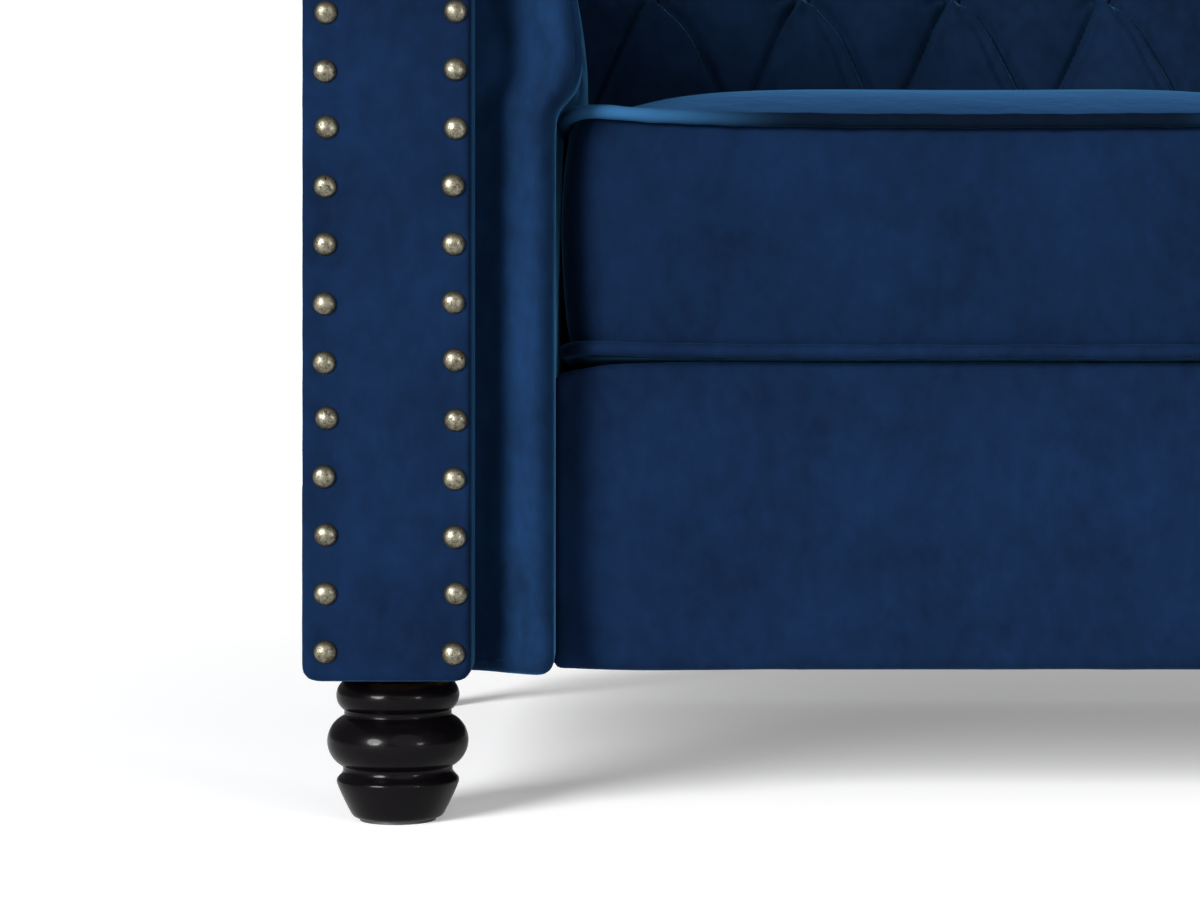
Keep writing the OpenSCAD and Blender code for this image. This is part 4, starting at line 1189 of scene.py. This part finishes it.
finishes = {
    "beech": woods("steamed_beech", "#d8b07c", "#b98a58", 0.006),
    "plywood": woods("birch_plywood", "#dcc08f", "#c2a06c", 0.010),
    "foam": moulded("polyether_foam", "#e6ddc2", 0.95, 0.0025),
    "nylon": moulded("nylon_moulded_black", "#26262a", 0.5, 0.0015),
    "hessian": woven("jute_hessian", "#b39765", "#6d5632", 0.0022),
    "black_cloth": woven("black_cotton_platform_cloth", "#232327", "#0c0c0e", 0.0012),
    "spring_steel": drawn_metal("tempered_spring_wire", "#8c8d92", "#4c4d52", 0.42),
    "zinc_steel": drawn_metal("zinc_plated_steel", "#c9cacd", "#8f9194", 0.35),
    "lacquered_wood": black_lacquer,
    "antique_brass": antique_brass,
    "velvet": blue_velvet,
}
for entry in frame["record"]["subparts"]:
    node = frame["nodes"][entry["node"]]
    node.data.materials.clear()
    node.data.materials.append(finishes[entry["material_slot"]])
print(len(frame["nodes"]), "CAD nodes painted")
finish(seat_deck, finishes["black_cloth"], "frame", ("deck_pad", "deck_cover"))

# %% [markdown]
# The room is a plain white floor inside a round paper backdrop. The floor glows a little and the backdrop
# glows fully, so that both come out clean white. The backdrop is only there to be looked at: it neither
# lights the sofa nor blocks the lamps.

# %% Floor and backdrop
def white_paper(name, mesh, glow, roughness):
    """Gives a piece of the room its white paper, which glows by so much."""
    paper, tree, shader, place = material(name)
    shader.inputs["Base Color"].default_value = colour("#f7f7f8")
    shader.inputs["Roughness"].default_value = roughness
    shader.inputs["Emission Color"].default_value = (1, 1, 1, 1)
    shader.inputs["Emission Strength"].default_value = glow
    mesh.materials.append(paper)


floor_mesh = bpy.data.meshes.new("floor")
bm = bmesh.new()
bmesh.ops.create_grid(bm, x_segments=1, y_segments=1, size=30)
bm.to_mesh(floor_mesh)
bm.free()
floor = link("floor", floor_mesh)
white_paper("white_paper_floor", floor_mesh, glow=0.26, roughness=0.9)

backdrop_mesh = bpy.data.meshes.new("backdrop")
bm = bmesh.new()
bmesh.ops.create_cone(bm, segments=64, radius1=14, radius2=14, depth=12)
bmesh.ops.translate(bm, verts=bm.verts, vec=(0, 0, 5))
bm.to_mesh(backdrop_mesh)
bm.free()
backdrop = link("backdrop", backdrop_mesh)
backdrop.visible_diffuse = False
backdrop.visible_glossy = False
backdrop.visible_shadow = False
white_paper("lit_paper_backdrop", backdrop_mesh, glow=1.0, roughness=0.5)
print("floor and backdrop in place")

# %% [markdown]
# The key is a wide low bank from the left front. It rakes over the nails and the pleats, and each foot throws
# a soft shadow back and to the right. A weak fill from the right opens the dark side, and two small softboxes
# give the lacquer its twin highlights.

# %% Lamps
world = bpy.data.worlds.new("studio")
world.use_nodes = True
scene.world = world
world.node_tree.nodes["Background"].inputs["Color"].default_value = (1, 1, 1, 1)
world.node_tree.nodes["Background"].inputs["Strength"].default_value = 0.20


def lamp(name, kind, spot, aim, strength, **shape):
    light = bpy.data.lights.new(name, kind)
    light.energy = strength
    for key, value in shape.items():
        setattr(light, key, value)
    made = bpy.data.objects.new(name, light)
    made.location = spot
    made.rotation_euler = (Vector(aim) - Vector(spot)).to_track_quat("-Z", "Y").to_euler()
    bpy.context.collection.objects.link(made)


lamp("key_bank", "SUN", (-1.56, -2.23, 0.80), (0, 0, 0), 6.3, angle=math.radians(24))
lamp("fill_bank", "SUN", (0.9, -2.4, 1.2), (0, 0, 0), 0.7, angle=math.radians(50))
for name, spot in (("left", (-2.56, -3.09, 0.55)), ("right", (1.23, -2.73, 0.55))):
    lamp(f"softbox_{name}", "AREA", spot, (-0.91, -0.35, 0.1), 22, shape="RECTANGLE", size=0.5, size_y=0.4)
print(len(bpy.data.lights), "lamps")
